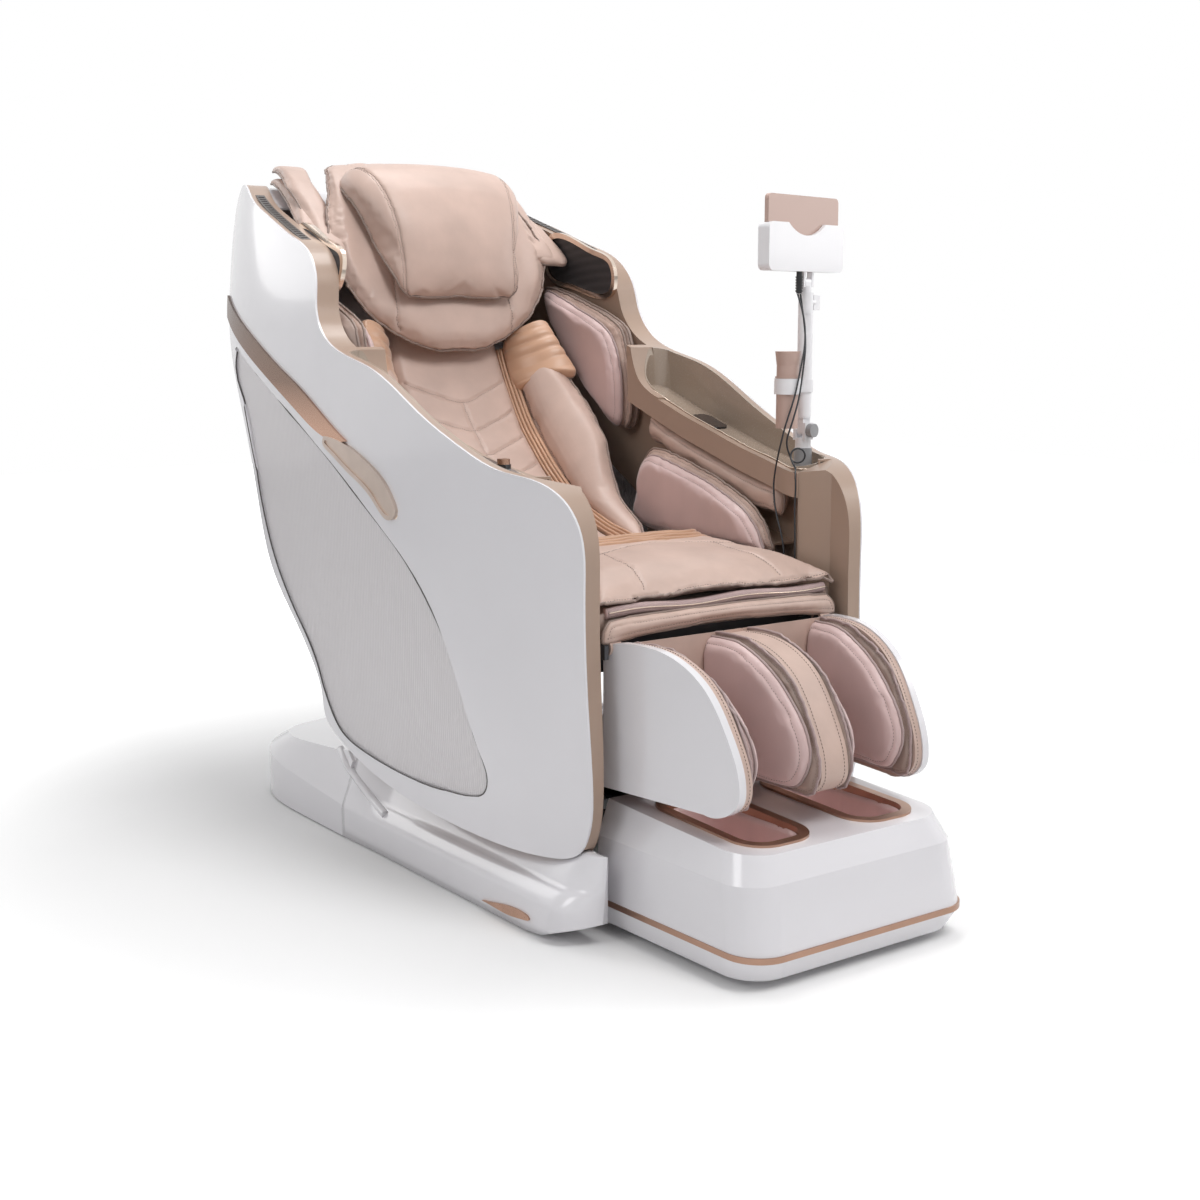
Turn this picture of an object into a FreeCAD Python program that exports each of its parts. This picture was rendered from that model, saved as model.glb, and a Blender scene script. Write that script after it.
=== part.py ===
import FreeCAD, Part
import math
import os
from FreeCAD import Vector

# Full body massage chair, in millimetres. The chair faces -Y and +Z is up.
# The origin is on the floor, on the centre line, midway along the rubber feet.
# "Left" is the sitter's left, which is +X. Side outlines are lists of (y, z) points.

# Outer skin of the two side shells: half width along the chair, and how far it leans with height
SKIN_PLAN = [(-760, 265), (-640, 306), (-520, 351), (-420, 372), (-250, 390), (0, 400),
             (250, 402), (420, 396), (560, 380), (640, 362), (760, 330)]
SKIN_LEAN = [(60, -32), (140, -16), (220, -6), (320, 0), (500, 0), (850, 0),
             (1000, -6), (1100, -18), (1200, -32), (1320, -52), (1420, -72)]
SHELL_WALL = 4.0
LINER_GAP = 46.0
LINER_WALL = 4.0
PANEL_WALL = 4.0
PANEL_LAP = 9.0
BAR_PROUD = 5.0
BADGE_PROUD = 6.0
TRIM_DEPTH = 3.5
BADGE_RIM = 8.0

# Side outline of the shell, in runs from the rear top corner round to it again
REAR_EDGE = [(605, 1315), (650, 1309), (682, 1278), (690, 1236), (674, 1135), (600, 980),
             (520, 864), (438, 702), (369, 541), (260, 440), (175, 360), (141, 300)]
BOTTOM_EDGE = [(141, 300), (134, 257), (92, 225), (8, 190), (-132, 157), (-377, 132), (-541, 130),
               (-600, 146), (-624, 185)]
FRONT_EDGE = [(-624, 185), (-636, 270), (-630, 417), (-625, 600), (-617, 695), (-588, 742),
              (-540, 768)]
ARM_TOP = [(-540, 768), (-460, 781), (-359, 815), (-244, 865), (-75, 943), (132, 1025)]
WING_FRONT = [(132, 1025), (148, 1055), (158, 1105), (181, 1143), (216, 1169)]
WING_TOP = [(216, 1169), (290, 1195), (401, 1234), (543, 1287), (605, 1315)]
BAR_TOP = [(700, 1102), (529, 1035), (397, 982), (292, 938), (201, 901), (117, 859), (58, 828),
           (10, 806)]
BAR_LOW = [(10, 806), (120, 817), (203, 852), (292, 892), (395, 936), (522, 989), (700, 1070)]
WING_SEAM = [(54, 819), (96, 917), (132, 1025)]
BADGE = [(90, 812), (19, 803), (-72, 771), (-124, 743), (-155, 712), (-166, 686), (-152, 674),
         (-87, 704), (3, 749), (80, 785), (99, 802)]
PANEL = [(538, 974), (453, 938), (292, 868), (162, 806), (42, 742), (-69, 676), (-171, 612),
         (-265, 528), (-323, 445), (-364, 362), (-402, 285), (-416, 246), (-406, 220), (-370, 204),
         (-300, 198), (-200, 196), (-109, 201), (0, 217), (84, 246), (124, 296), (162, 362),
         (246, 448), (346, 552), (420, 704), (500, 868), (548, 958)]
VENT_FRONT = 262.0
VENT_REAR = 548.0
VENT_OUTER = 13.0
VENT_WIDTH = 20.0
VENT_PITCH = 12.5
SPEAKER = [(152, 1110), (158, 1158), (220, 1184), (380, 1214), (404, 1178), (390, 1124),
           (320, 1102), (200, 1078)]

# Armrest: the line of the tray's inner lip, the channel for the forearm and its two cushions
SHELF = [(-530, 751), (-470, 754), (-427, 763), (-316, 786), (-229, 810), (-130, 838), (-53, 864),
         (80, 912)]
TRAY_FRONT = -514.0
TRAY_REAR = 52.0
TRAY_OUTER = 17.0
TRAY_INNER = 86.0
TRAY_WALL = 3.0
TRAY_DEPTH = 9.0
TRAY_RIM = 1.5
LEDGE_WIDTH = 18.0
LEDGE_HEIGHT = 46.0
LEDGE_WALL = 4.0
END_THICK = 15.0
END_RISE = [(-41, 872), (0, 888), (30, 912), (46, 945), (58, 1015)]
CHANNEL_HEIGHT = 104.0
CHANNEL_INNER = TRAY_INNER + LEDGE_WIDTH
CHANNEL_FRONT = -438.0
SKIRT_HEIGHT = 56.0
ARM_PAD_THICK = 30.0
HIP_PAD_THICK = 44.0
SOFT_GAP = 0.5
SHOULDER_PAD_THICK = 66.0

# Front column of the armrest, in plan: a square rear face and a slanted inner face
COLUMN_REAR = -518.0
COLUMN_INNER = 251.0
COLUMN_SLANT = 0.5
COLUMN_FRONT = 280.0
COLUMN_TOP_SLOPE = 0.25

# Controller on the right armrest and charging plate on the left one
KNOB_X = 309.0
KNOB_Y = -385.0
KNOB_Z = 785.0
KNOB_R = 11.0
PANEL_PLAN = [(303, -455), (299, -400), (301, -340), (312, -279), (323, -340), (321, -410)]
PANEL_TOP = 8.0
CHARGE_PLAN = [(320, -118), (366, -118), (358, -196), (312, -196)]
CHARGE_THICK = 4.0

# Upholstery, as centre lines of the surface that faces the sitter
BACK_FRONT = [(-165, 580), (-50, 606), (60, 652), (135, 706), (190, 756), (238, 806), (275, 858),
              (312, 918), (345, 985), (385, 1070), (425, 1150), (462, 1225)]
BACK_THICK = 24.0
BACK_HALF_WIDTH = 205.0
BOLSTER_FRONT = [(-163, 586), (-108, 618), (-20, 668), (36, 722), (92, 792), (165, 862), (232, 940),
                 (272, 1005)]
BOLSTER_THICK = 78.0
BOLSTER_PLAN = [(146, 540), (176, 540), (206, 620), (236, 690), (262, 780), (266, 860), (246, 952),
                (146, 952)]
NECK_FRONT = [(276, 966), (296, 1040), (332, 1130), (378, 1225), (440, 1310), (520, 1362)]
NECK_THICK = 32.0
NECK_HALF_WIDTH = 264.0
# (x, z) of the shawl's outline, from its lowest point up the left side to its top edge
NECK_PLAN = [(60, 940), (120, 972), (190, 1012), (238, 1062), (260, 1112), (NECK_HALF_WIDTH, 1175),
             (256, 1240), (244, 1300), (238, 1340), (200, 1400)]
LEAF_FRONT = [(236, 1042), (282, 1122), (338, 1180), (400, 1234), (465, 1272),
              (484, 1280)]
LEAF_THICK = 24.0
LEAF_ROOM = 12.0
PILLOW_FACE = [(262, 1076), (262, 1130), (280, 1225), (325, 1305), (392, 1350)]
PILLOW_HALF_TOP = 186.0
PILLOW_HALF_LOW = 128.0
SEAT_FRONT_Y = -588.0
SEAT_HALF_REAR = 214.0
SEAT_HALF_FRONT = 265.0
SEAT_FLARE = [(214, -420), (236, -452), (240, -522)]
SEAT_TOP = [(SEAT_FRONT_Y, 545), (-566, 585), (-480, 602), (-350, 608), (-250, 594), (-178, 568)]
SEAT_DECK_TOP = 500.0
FLAP_THICK = 22.0
FLAP_HALF = 258.0
FLAP_LOW = 512.0
FLAP_HIGH = 548.0

# Steel frame of the tilting body
FRAME_TUBE = 22.0
SEAT_BEAM_OUTER = 250.0
SEAT_BEAM_TOP = 490.0
SEAT_BEAM_HEIGHT = 50.0
SEAT_BEAM_FRONT = -555.0
SEAT_BEAM_REAR = 45.0
DECK_THICK = 10.0
RECLINE_Y = -100.0
RECLINE_Z = 300.0
RECLINE_PIN_R = 12.0
LUG_THICK = 12.0
RUN_CLEARANCE = 0.05
LEG_PIVOT_Y = -600.0
LEG_PIVOT_Z = 492.0
LEG_PIN_R = 8.0
LEG_LUG_X = 253.5
LEG_LUG_THICK = 8.0

# Track of the massage carriage: a straight line behind the back pad
TRACK_Y = 368.0
TRACK_Z = 752.0
TRACK_LEAN = 30.4
TRACK_LOW = -190.0
TRACK_HIGH = 440.0
RAIL_INNER = 160.0
RAIL_WIDTH = 24.0
RAIL_DEPTH = 36.0
GUIDE_R = 12.0
GUIDE_CLEARANCE = 0.3
CARRIAGE_REST = -100.0
CARRIAGE_LENGTH = 110.0
CARRIAGE_DEPTH = 40.0
SHAFT_R = 8.0
SHAFT_FORWARD = 36.0
ROLLER_R = 20.0
ROLLER_WIDTH = 26.0
ROLLER_REACH = 50.0
ARM_HUB_R = 14.0
ARM_X = 78.0

# Base
BASE_HALF = 365.0
BASE_FRONT = -655.0
BASE_SEAM_Y = 141.0
BASE_REAR = 695.0
BASE_WALL = 4.0
BASE_GAP = 3.0
SIDE_SECTION = [(362, BASE_GAP), (365, 30), (364, 66), (346, 88), (334, 92), (298, 152)]
CHEEK_INNER = 285.0
CHEEK_ROOM = 4.0
REAR_PLAN = [(365, 141), (365, 220), (365, 300), (364, 380), (356, 470), (331, 550), (280, 616), (200, 664), (100, 689),
             (0, 695)]
DECK_RIM_Z = 67.0
DECK_RIM_RISE = 0.076
DECK_TOP_Z = 166.0
DECK_TOP_RISE = -0.085
DECK_BEVEL = 38.0
CHEEK_ROUND = 46.0
RIB_PROUD = 5.0
BEAM_X = 215.0
BEAM_WIDTH = 50.0
BEAM_LOW = 12.0
BEAM_HIGH = 52.0
RAIL_TOP = 66.0
FOOT_PAD_R = 22.0
WHEEL_R = 28.0
WHEEL_Y = 540.0
WHEEL_X = 290.0
AXLE_R = 5.0
WHEEL_Z = WHEEL_R + 1.5
POWER_X0 = -130.0
POWER_X1 = -20.0
POWER_Z0 = 24.0
POWER_Z1 = 72.0
POWER_Y = 680.0
SWITCH_X = -52.0

# Leg rest
CALF_TOP = [(-590, 480), (-612, 499), (-651, 505), (-718, 503), (-820, 456), (-869, 387),
            (-896, 318), (-893, 284), (-874, 264), (-822, 254)]
CALF_REAR_Y = -590.0
CALF_LOW_Z = 252.0
CALF_HALF_REAR = 249.0
CALF_HALF_FRONT = 212.0
CALF_FRONT_Y = -900.0
CALF_COVER_THICK = 14.0
CALF_WEB_THICK = 16.0
CALF_PAD_THICK = 34.0
DIVIDER_HALF = 30.0
CALF_WALL_DEPTH = 40.0
ROD_R = 7.0
ROD_X = 100.0

# Foot box
FOOT_LEVELS = [(15, 236, -958, -590), (52, 247, -977, -581), (165, 240, -954, -577),
               (232, 214, -922, -575)]
FOOT_REAR_WIDER = 8.0
FOOT_CORNER = 62.0
FOOT_WALL = 4.0
FOOT_TOP_REAR = 224.0
FOOT_TOP_FRONT = 208.0
WELL_X = 117.0
WELL_HALF = 60.0
WELL_FRONT = -896.0
WELL_REAR = -640.0
WELL_CORNER = 42.0
WELL_DEPTH = 110.0
WELL_RIM = 15.0
TRIM_LINE_Z = 50.0
TRIM_LINE_HEIGHT = 10.0
FOOT_ROLLER_R = 24.0
FOOT_ROLLER_Z = 68.0
FOOT_ROLLER_Y = -790.0
FOOT_SOLE_Z = 15.0

# Tablet arm on the left armrest
MAST_X = 320.0
MAST_Y = -455.0
MAST_TURN = 10.5
KNUCKLE_Z = 824.0
MAST_R = 14.0
MAST_INNER_R = 10.0
MAST_TOP = 1092.0
MAST_SPLIT = 1040.0
CRADLE_WIDTH = 228.0
CRADLE_LOW = 1118.0
CRADLE_HIGH = 1205.0
CRADLE_DEPTH = 26.0
CRADLE_WALL = 3.0
CRADLE_SHIFT = -16.0
TABLET_WIDTH = 214.0
TABLET_HEIGHT = 128.0
TABLET_THICK = 9.0
WAND_R = 20.5
WAND_LENGTH = 142.0
WAND_REACH = 52.0
TABLET_X0 = MAST_X + CRADLE_SHIFT - TABLET_WIDTH / 2

# Two thin cables from the cradle: the points of their routes, down to the box under the seat edge
CABLE_D = 3.5
RELIEF_X = 294.2
RELIEF_Y = -464.0
RELIEF_R = 7.0
RELIEF_LOW = 1078.0
JUNCTION_TOP = 490.0
CABLE_A = [(291.9, -462.6, 1077.2), (296, -478, 1038), (290, -489, 986), (274, -493, 936),
           (258, -496, 886), (247, -486, 840), (244, -474, 796), (252, -454, 756), (254, -446, 718),
           (249, -460, 672), (245, -486, 624), (246, -490, 578), (251, -481, 536), (254, -474, 490)]
CABLE_B = [(296.5, -465.4, 1077.2), (301, -470, 1038), (297, -483, 984), (280, -494, 934),
           (264, -502, 884), (253, -496, 840), (249, -487, 812), (256, -480, 796),
           (263.5, -479.6, 781), (267.4, -482.3, 769.8), (275.1, -489.2, 765.5),
           (282.8, -496, 769.8), (285.6, -499.4, 780), (281.6, -497.6, 790.2),
           (272.8, -492.5, 794.5), (263.9, -487.2, 790.2), (260.2, -485.1, 780), (258, -493, 768.5),
           (256, -502, 761), (251, -511, 757.5), (242.8, -518, 749), (243.2, -520.5, 725),
           (244, -517, 690), (243.5, -520, 645), (244.5, -520, 600), (248, -513, 560),
           (255, -500, 526), (258, -490, 490)]

FAR = 450.0


def vec(x, y, z):
    return Vector(x, y, z)


def box(x0, x1, y0, y1, z0, z1):
    return Part.makeBox(x1 - x0, y1 - y0, z1 - z0, vec(x0, y0, z0))


def rod_x(x0, x1, y, z, r):
    return Part.makeCylinder(r, x1 - x0, vec(x0, y, z), vec(1, 0, 0))


def rod_y(x, y0, y1, z, r):
    return Part.makeCylinder(r, y1 - y0, vec(x, y0, z), vec(0, 1, 0))


def rod_z(x, y, z0, z1, r):
    return Part.makeCylinder(r, z1 - z0, vec(x, y, z0), vec(0, 0, 1))


def mirrored(shape):
    return shape.mirror(vec(0, 0, 0), vec(1, 0, 0))


def both(shape):
    return Part.makeCompound([shape, mirrored(shape)])


def fuse(*shapes):
    return shapes[0].multiFuse(list(shapes[1:])).removeSplitter()


def run_edge(points, place):
    spots = [place(*point) for point in points]
    if len(spots) == 2:
        return Part.makeLine(spots[0], spots[1])
    curve = Part.BSplineCurve()
    curve.interpolate(spots)
    return curve.toShape()


def side_face(*runs):
    edges = [run_edge(run, lambda y, z: vec(0, y, z)) for run in runs]
    return Part.Face(Part.Wire(edges))


def side_prism(x0, x1, *runs):
    face = side_face(*runs)
    face.translate(vec(x0, 0, 0))
    return face.extrude(vec(x1 - x0, 0, 0))


def straight(points):
    closed = list(points) + [points[0]]
    return [[closed[k], closed[k + 1]] for k in range(len(points))]


def raised(points, dz):
    return [(y, z + dz) for y, z in points]


def offset(points, distance):
    """The same line moved along its own normal, to the rear and down for a positive distance."""
    moved = []
    for k, (y, z) in enumerate(points):
        before = points[max(k - 1, 0)]
        after = points[min(k + 1, len(points) - 1)]
        dy = after[0] - before[0]
        dz = after[1] - before[1]
        size = math.hypot(dy, dz)
        moved.append((y + distance * dz / size, z - distance * dy / size))
    return moved


def strip(front, thick, x0, x1):
    """A pad of even thickness behind a front line."""
    rear = offset(front, thick)[::-1]
    return side_prism(x0, x1, front, [front[-1], rear[0]], rear, [rear[-1], front[0]])


def band(line, low, high, y0, y1):
    """The side area between two heights over a line, cut to a length."""
    lower = raised(line, low)
    upper = raised(line, high)[::-1]
    whole = side_prism(0, FAR, lower, [lower[-1], upper[0]], upper, [upper[-1], lower[0]])
    return whole.common(box(-1, FAR, y0, y1, 0, 1500))


def slab(outer, inner):
    """The space between two insets from the left outer skin, both measured along X."""
    rows = [[vec(half + lean - outer, y, z) for z, lean in SKIN_LEAN] for y, half in SKIN_PLAN]
    surface = Part.BSplineSurface()
    surface.interpolate(rows)
    return surface.toShape().extrude(vec(outer - inner, 0, 0))


def skin(inset):
    """Everything on the inner side of the left outer skin, moved inwards by an inset."""
    return slab(inset, inset + 1000)


def layer(solid, outer, inner):
    """The part of a solid between two insets from the left outer skin."""
    return solid.common(slab(outer, inner))


def between_skins(solid, inset):
    """The part of a full width solid inside both side skins."""
    return solid.common(skin(inset)).common(mirrored(skin(inset)))


def joined(*runs):
    """One closed list of points from runs that share their ends."""
    points = []
    for run in runs:
        points += run[:-1]
    return points


def smooth_face(points, inset=0.0):
    """The side area inside one smooth closed curve, or inside that curve moved inwards."""
    curve = Part.BSplineCurve()
    curve.interpolate(Points=[vec(0, y, z) for y, z in points], PeriodicFlag=True)
    if inset:
        turn = 1.0 if ring_area(points) > 0 else -1.0
        knots = curve.getKnots()
        moved = []
        for first, second in zip(knots, knots[1:]):
            for at in (first, (first + second) / 2):
                along = curve.tangent(at)[0]
                normal = vec(0, -along.z, along.y) * turn
                moved.append(curve.value(at) + normal * inset)
        curve = Part.BSplineCurve()
        curve.interpolate(Points=moved, PeriodicFlag=True)
    return Part.Face(Part.Wire([curve.toShape()]))


def ring_area(points):
    closed = points + [points[0]]
    return sum(closed[k][0] * closed[k + 1][1] - closed[k + 1][0] * closed[k][1]
               for k in range(len(points))) / 2


def smooth_prism(points, inset=0.0, x0=0.0, x1=FAR):
    face = smooth_face(points, inset)
    face.translate(vec(x0, 0, 0))
    return face.extrude(vec(x1 - x0, 0, 0))


SHELL = joined(REAR_EDGE, BOTTOM_EDGE, FRONT_EDGE, ARM_TOP, WING_FRONT, WING_TOP)


def outline_prism(inset=0.0):
    return smooth_prism(SHELL, inset)


def wing_zone():
    """The area over the bar and behind the seam; its lower edge runs inside the bar."""
    middle = [((a[0] + b[0]) / 2, (a[1] + b[1]) / 2) for a, b in zip(BAR_TOP[:6], BAR_LOW[::-1])]
    middle = [WING_SEAM[0]] + middle[::-1]
    end = middle[-1]
    seam_top = WING_SEAM[-1]
    return side_prism(0, FAR, middle, [end, (end[0] + 80, end[1])],
                      [(end[0] + 80, end[1]), (end[0] + 80, 1450)],
                      [(end[0] + 80, 1450), (seam_top[0], 1450)],
                      [(seam_top[0], 1450), seam_top], WING_SEAM[::-1])


def bar_prism():
    return side_prism(0, FAR, BAR_TOP, BAR_LOW, [BAR_LOW[-1], BAR_TOP[0]])


def side_shell(outline):
    solid = layer(outline, 0.0, SHELL_WALL)
    for opening in (wing_zone(), bar_prism(), smooth_prism(BADGE), smooth_prism(PANEL)):
        solid = solid.cut(opening)
    return solid


def side_wing(outline):
    return layer(outline.common(wing_zone()).cut(bar_prism()), 0.0, SHELL_WALL)


def side_panel():
    solid = layer(smooth_prism(PANEL, -PANEL_LAP), SHELL_WALL, SHELL_WALL + PANEL_WALL)
    return solid.common(outline_prism(LINER_WALL))


def light_bar(outline):
    solid = bar_prism().common(outline)
    return layer(solid, -BAR_PROUD, TRIM_DEPTH).cut(smooth_prism(BADGE))


def badge():
    rim = layer(smooth_prism(BADGE), -BADGE_PROUD, TRIM_DEPTH)
    plate = smooth_prism(BADGE, BADGE_RIM)
    return Part.makeCompound([rim.cut(plate), layer(plate, -BADGE_PROUD + 2.5, TRIM_DEPTH)])


def half_width(y):
    """Half width of the outer skin at a place along the chair."""
    for (y0, x0), (y1, x1) in zip(SKIN_PLAN, SKIN_PLAN[1:]):
        if y0 <= y <= y1:
            return x0 + (x1 - x0) * (y - y0) / (y1 - y0)
    return SKIN_PLAN[-1][1]


def tray_zone(inset=0.0):
    """The space of the tray, round at both ends, and the air over it."""
    room = band(SHELF, -TRAY_DEPTH + inset, 400, TRAY_FRONT + inset, TRAY_REAR - inset)
    room = layer(room, TRAY_OUTER + inset, TRAY_INNER - inset)
    r = (TRAY_INNER - TRAY_OUTER) / 2
    depth = (TRAY_INNER + TRAY_OUTER) / 2
    ends = [TRAY_FRONT + r, TRAY_REAR - r]
    rounds = [rod_z(half_width(y) - depth, y, 600, 1400, r - inset + 0.5) for y in ends]
    return room.common(fuse(box(0, FAR, ends[0], ends[1], 600, 1400), *rounds))


def end_rise(lift=0.0):
    """The side area under the curve in which the rear end of the armrest rises to the wing."""
    curve = raised(END_RISE, lift)
    low = 700
    return side_prism(0, FAR, curve, [curve[-1], (TRAY_REAR + END_THICK, curve[-1][1] + 20)],
                      [(TRAY_REAR + END_THICK, curve[-1][1] + 20), (TRAY_REAR + END_THICK, low)],
                      [(TRAY_REAR + END_THICK, low), (curve[0][0], low)],
                      [(curve[0][0], low), curve[0]])


def front_top(drop=0.0):
    """Everything under the top of the front column, which falls to the inner side."""
    shelf = SHELF[0][1] + 1 - drop
    low = shelf - COLUMN_TOP_SLOPE * COLUMN_INNER
    corners = [vec(0, -750, 0), vec(0, -750, low), vec(FAR, -750, low + COLUMN_TOP_SLOPE * FAR),
               vec(FAR, -750, 0), vec(0, -750, 0)]
    return Part.Face(Part.makePolygon(corners)).extrude(vec(0, 300, 0))


def column_zone(inset=0.0):
    """The plan of the front column, whose inner side slants outwards and then runs straight ahead."""
    rear = COLUMN_REAR - inset
    inner = COLUMN_INNER + inset * (math.hypot(1, COLUMN_SLANT) + COLUMN_SLANT)
    straight_x = COLUMN_FRONT + inset
    bend = rear - (straight_x - inner) / COLUMN_SLANT
    front = rear - 200
    plan = [vec(inner, rear, 0), vec(straight_x, bend, 0), vec(straight_x, front, 0),
            vec(FAR, front, 0), vec(FAR, rear, 0), vec(inner, rear, 0)]
    return Part.Face(Part.makePolygon(plan)).extrude(vec(0, 0, 1400))


def front_column(outline, inner):
    """The hollow front end of the armrest, from the tray down past the seat."""
    block = outline.common(column_zone()).common(skin(SHELL_WALL)).common(front_top())
    hollow = inner.common(column_zone(LINER_WALL)).common(front_top(LINER_WALL))
    return block.cut(hollow)


def arm_liner(outline, inner, ring, wall):
    span = box(0, FAR, COLUMN_REAR, TRAY_REAR + END_THICK, 0, 1400)
    edge = CHANNEL_INNER
    ledge = layer(band(SHELF, -LEDGE_HEIGHT, 0, COLUMN_REAR, TRAY_REAR + END_THICK), LINER_GAP, edge)
    hollow = layer(band(SHELF, -LEDGE_HEIGHT + LEDGE_WALL, -TRAY_DEPTH - LEDGE_WALL,
                        COLUMN_REAR + LEDGE_WALL, TRAY_REAR), LINER_GAP - 1, edge - LEDGE_WALL)
    floor_top = -LEDGE_HEIGHT - CHANNEL_HEIGHT
    floor = layer(band(SHELF, floor_top - LEDGE_WALL, floor_top, CHANNEL_FRONT, 0), LINER_GAP, edge)
    skirt = layer(band(SHELF, floor_top - SKIRT_HEIGHT, floor_top, CHANNEL_FRONT, 0),
                  edge - LEDGE_WALL, edge)
    end = layer(end_rise().common(outline), LINER_GAP, edge)
    end = end.cut(band(SHELF, -400, -LEDGE_HEIGHT, -60, TRAY_REAR + END_THICK + 5))
    solid = fuse(ring.common(span), wall.common(span), ledge.cut(hollow), end, floor, skirt,
                 front_column(outline, inner))
    return solid.cut([tray_zone(), cheek_section(-CHEEK_ROOM)])


def armrest_tray(outline):
    shell = tray_zone().cut(tray_zone(TRAY_WALL))
    high = layer(outline, TRAY_OUTER - 1, LINER_GAP).common(box(0, FAR, -478, 60, 0, 1400))
    lip = band(SHELF, -TRAY_DEPTH - 1, TRAY_RIM, -478, TRAY_REAR)
    front = front_top(-TRAY_RIM).common(box(0, FAR, -520, -478, 0, 1400))
    return fuse(*[shell.common(part) for part in (high, lip, front, end_rise(TRAY_RIM))])


def wing_liner(ring, outline):
    split = box(0, FAR, TRAY_REAR + END_THICK, 900, 0, 1500)
    upper = side_prism(0, FAR, *straight([(0, 600), (700, 1010), (800, 1010), (800, 1500),
                                          (0, 1500)]))
    wall = layer(outline.common(upper), LINER_GAP, LINER_GAP + LINER_WALL)
    return fuse(ring.common(split), wall.common(split)).cut(vent_zone())


def vent_zone():
    return layer(band(WING_TOP, -10, 8, VENT_FRONT, VENT_REAR), VENT_OUTER, VENT_OUTER + VENT_WIDTH)


def vent_grille():
    """A ribbed strip let into the top edge of the wing."""
    solid = layer(band(WING_TOP, -8, 2, VENT_FRONT, VENT_REAR), VENT_OUTER, VENT_OUTER + VENT_WIDTH)
    slots = []
    y = VENT_FRONT + VENT_PITCH * 0.6
    while y < VENT_REAR - VENT_PITCH:
        slots.append(box(0, FAR, y, y + VENT_PITCH * 0.45, 1100, 1400))
        y += VENT_PITCH
    inner = layer(Part.makeCompound(slots), VENT_OUTER + 3, VENT_OUTER + VENT_WIDTH - 3)
    return solid.cut(inner)


def speaker():
    opening = smooth_prism(SPEAKER, 11.0)
    depth = LINER_GAP + LINER_WALL
    bezel = layer(smooth_prism(SPEAKER), depth, depth + 9.0).cut(opening)
    mesh = layer(opening, depth, depth + 4.0)
    return bezel, mesh


def back_cover(outline, inner):
    """A curved rear skin between the two side shells, with a short roof over the head."""
    ring = inner.cut(outline_prism(LINER_WALL * 2))
    whole = fuse(ring, mirrored(ring))
    rear = side_prism(-FAR, FAR, *straight([(500, 1100), (500, 1400), (800, 1400), (800, 900),
                                            (165, 286), (60, 300)]))
    return between_skins(whole.common(rear), LINER_GAP + LINER_WALL)


def tilted(shape):
    """Place a shape drawn in track axes: Z along the track and Y square to it, to the rear."""
    moved = shape.copy()
    moved.rotate(vec(0, 0, 0), vec(1, 0, 0), -TRACK_LEAN)
    moved.translate(vec(0, TRACK_Y, TRACK_Z))
    return moved


def seat_frame():
    low = SEAT_BEAM_TOP - SEAT_BEAM_HEIGHT
    inner = SEAT_BEAM_OUTER - FRAME_TUBE
    beam = box(inner, SEAT_BEAM_OUTER, SEAT_BEAM_FRONT, SEAT_BEAM_REAR, low, SEAT_BEAM_TOP)
    lug = box(SEAT_BEAM_OUTER - LUG_THICK, SEAT_BEAM_OUTER, RECLINE_Y - 40, RECLINE_Y + 40,
              RECLINE_Z - 18, low)
    pin = rod_x(inner, SEAT_BEAM_OUTER + 2 + LUG_THICK, RECLINE_Y, RECLINE_Z, RECLINE_PIN_R)
    lug_far = LEG_LUG_X + LEG_LUG_THICK
    fork = box(LEG_LUG_X, lug_far, LEG_PIVOT_Y - 13, SEAT_BEAM_FRONT + LEG_LUG_THICK,
               LEG_PIVOT_Z - 18, LEG_PIVOT_Z + 6)
    bridge = box(inner, lug_far, SEAT_BEAM_FRONT, SEAT_BEAM_FRONT + LEG_LUG_THICK,
                 LEG_PIVOT_Z - 18, SEAT_BEAM_TOP)
    leg_pin = rod_x(226, lug_far, LEG_PIVOT_Y, LEG_PIVOT_Z, LEG_PIN_R)
    junction = box(SEAT_BEAM_OUTER, 272, -500, -462, JUNCTION_TOP - 40, JUNCTION_TOP)
    arms = [box(SEAT_BEAM_OUTER, FAR, y, y + 40, low + 5, SEAT_BEAM_TOP - 5)
            .common(skin(LINER_GAP + LINER_WALL)) for y in (-420, -60)]
    side = fuse(beam, lug, pin, fork, bridge, leg_pin, junction, *arms)
    front = box(-inner, inner, SEAT_BEAM_FRONT, SEAT_BEAM_FRONT + 30, low, SEAT_BEAM_TOP)
    rear = box(-inner, inner, SEAT_BEAM_REAR - 30, SEAT_BEAM_REAR, low, SEAT_BEAM_TOP)
    middle = box(-inner, inner, RECLINE_Y - 15, RECLINE_Y + 15, low, SEAT_BEAM_TOP)
    deck = box(-inner + 4, inner - 4, SEAT_BEAM_FRONT, SEAT_BEAM_REAR, SEAT_BEAM_TOP,
               SEAT_BEAM_TOP + DECK_THICK)
    return fuse(side, mirrored(side), front, rear, middle, deck)



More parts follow.
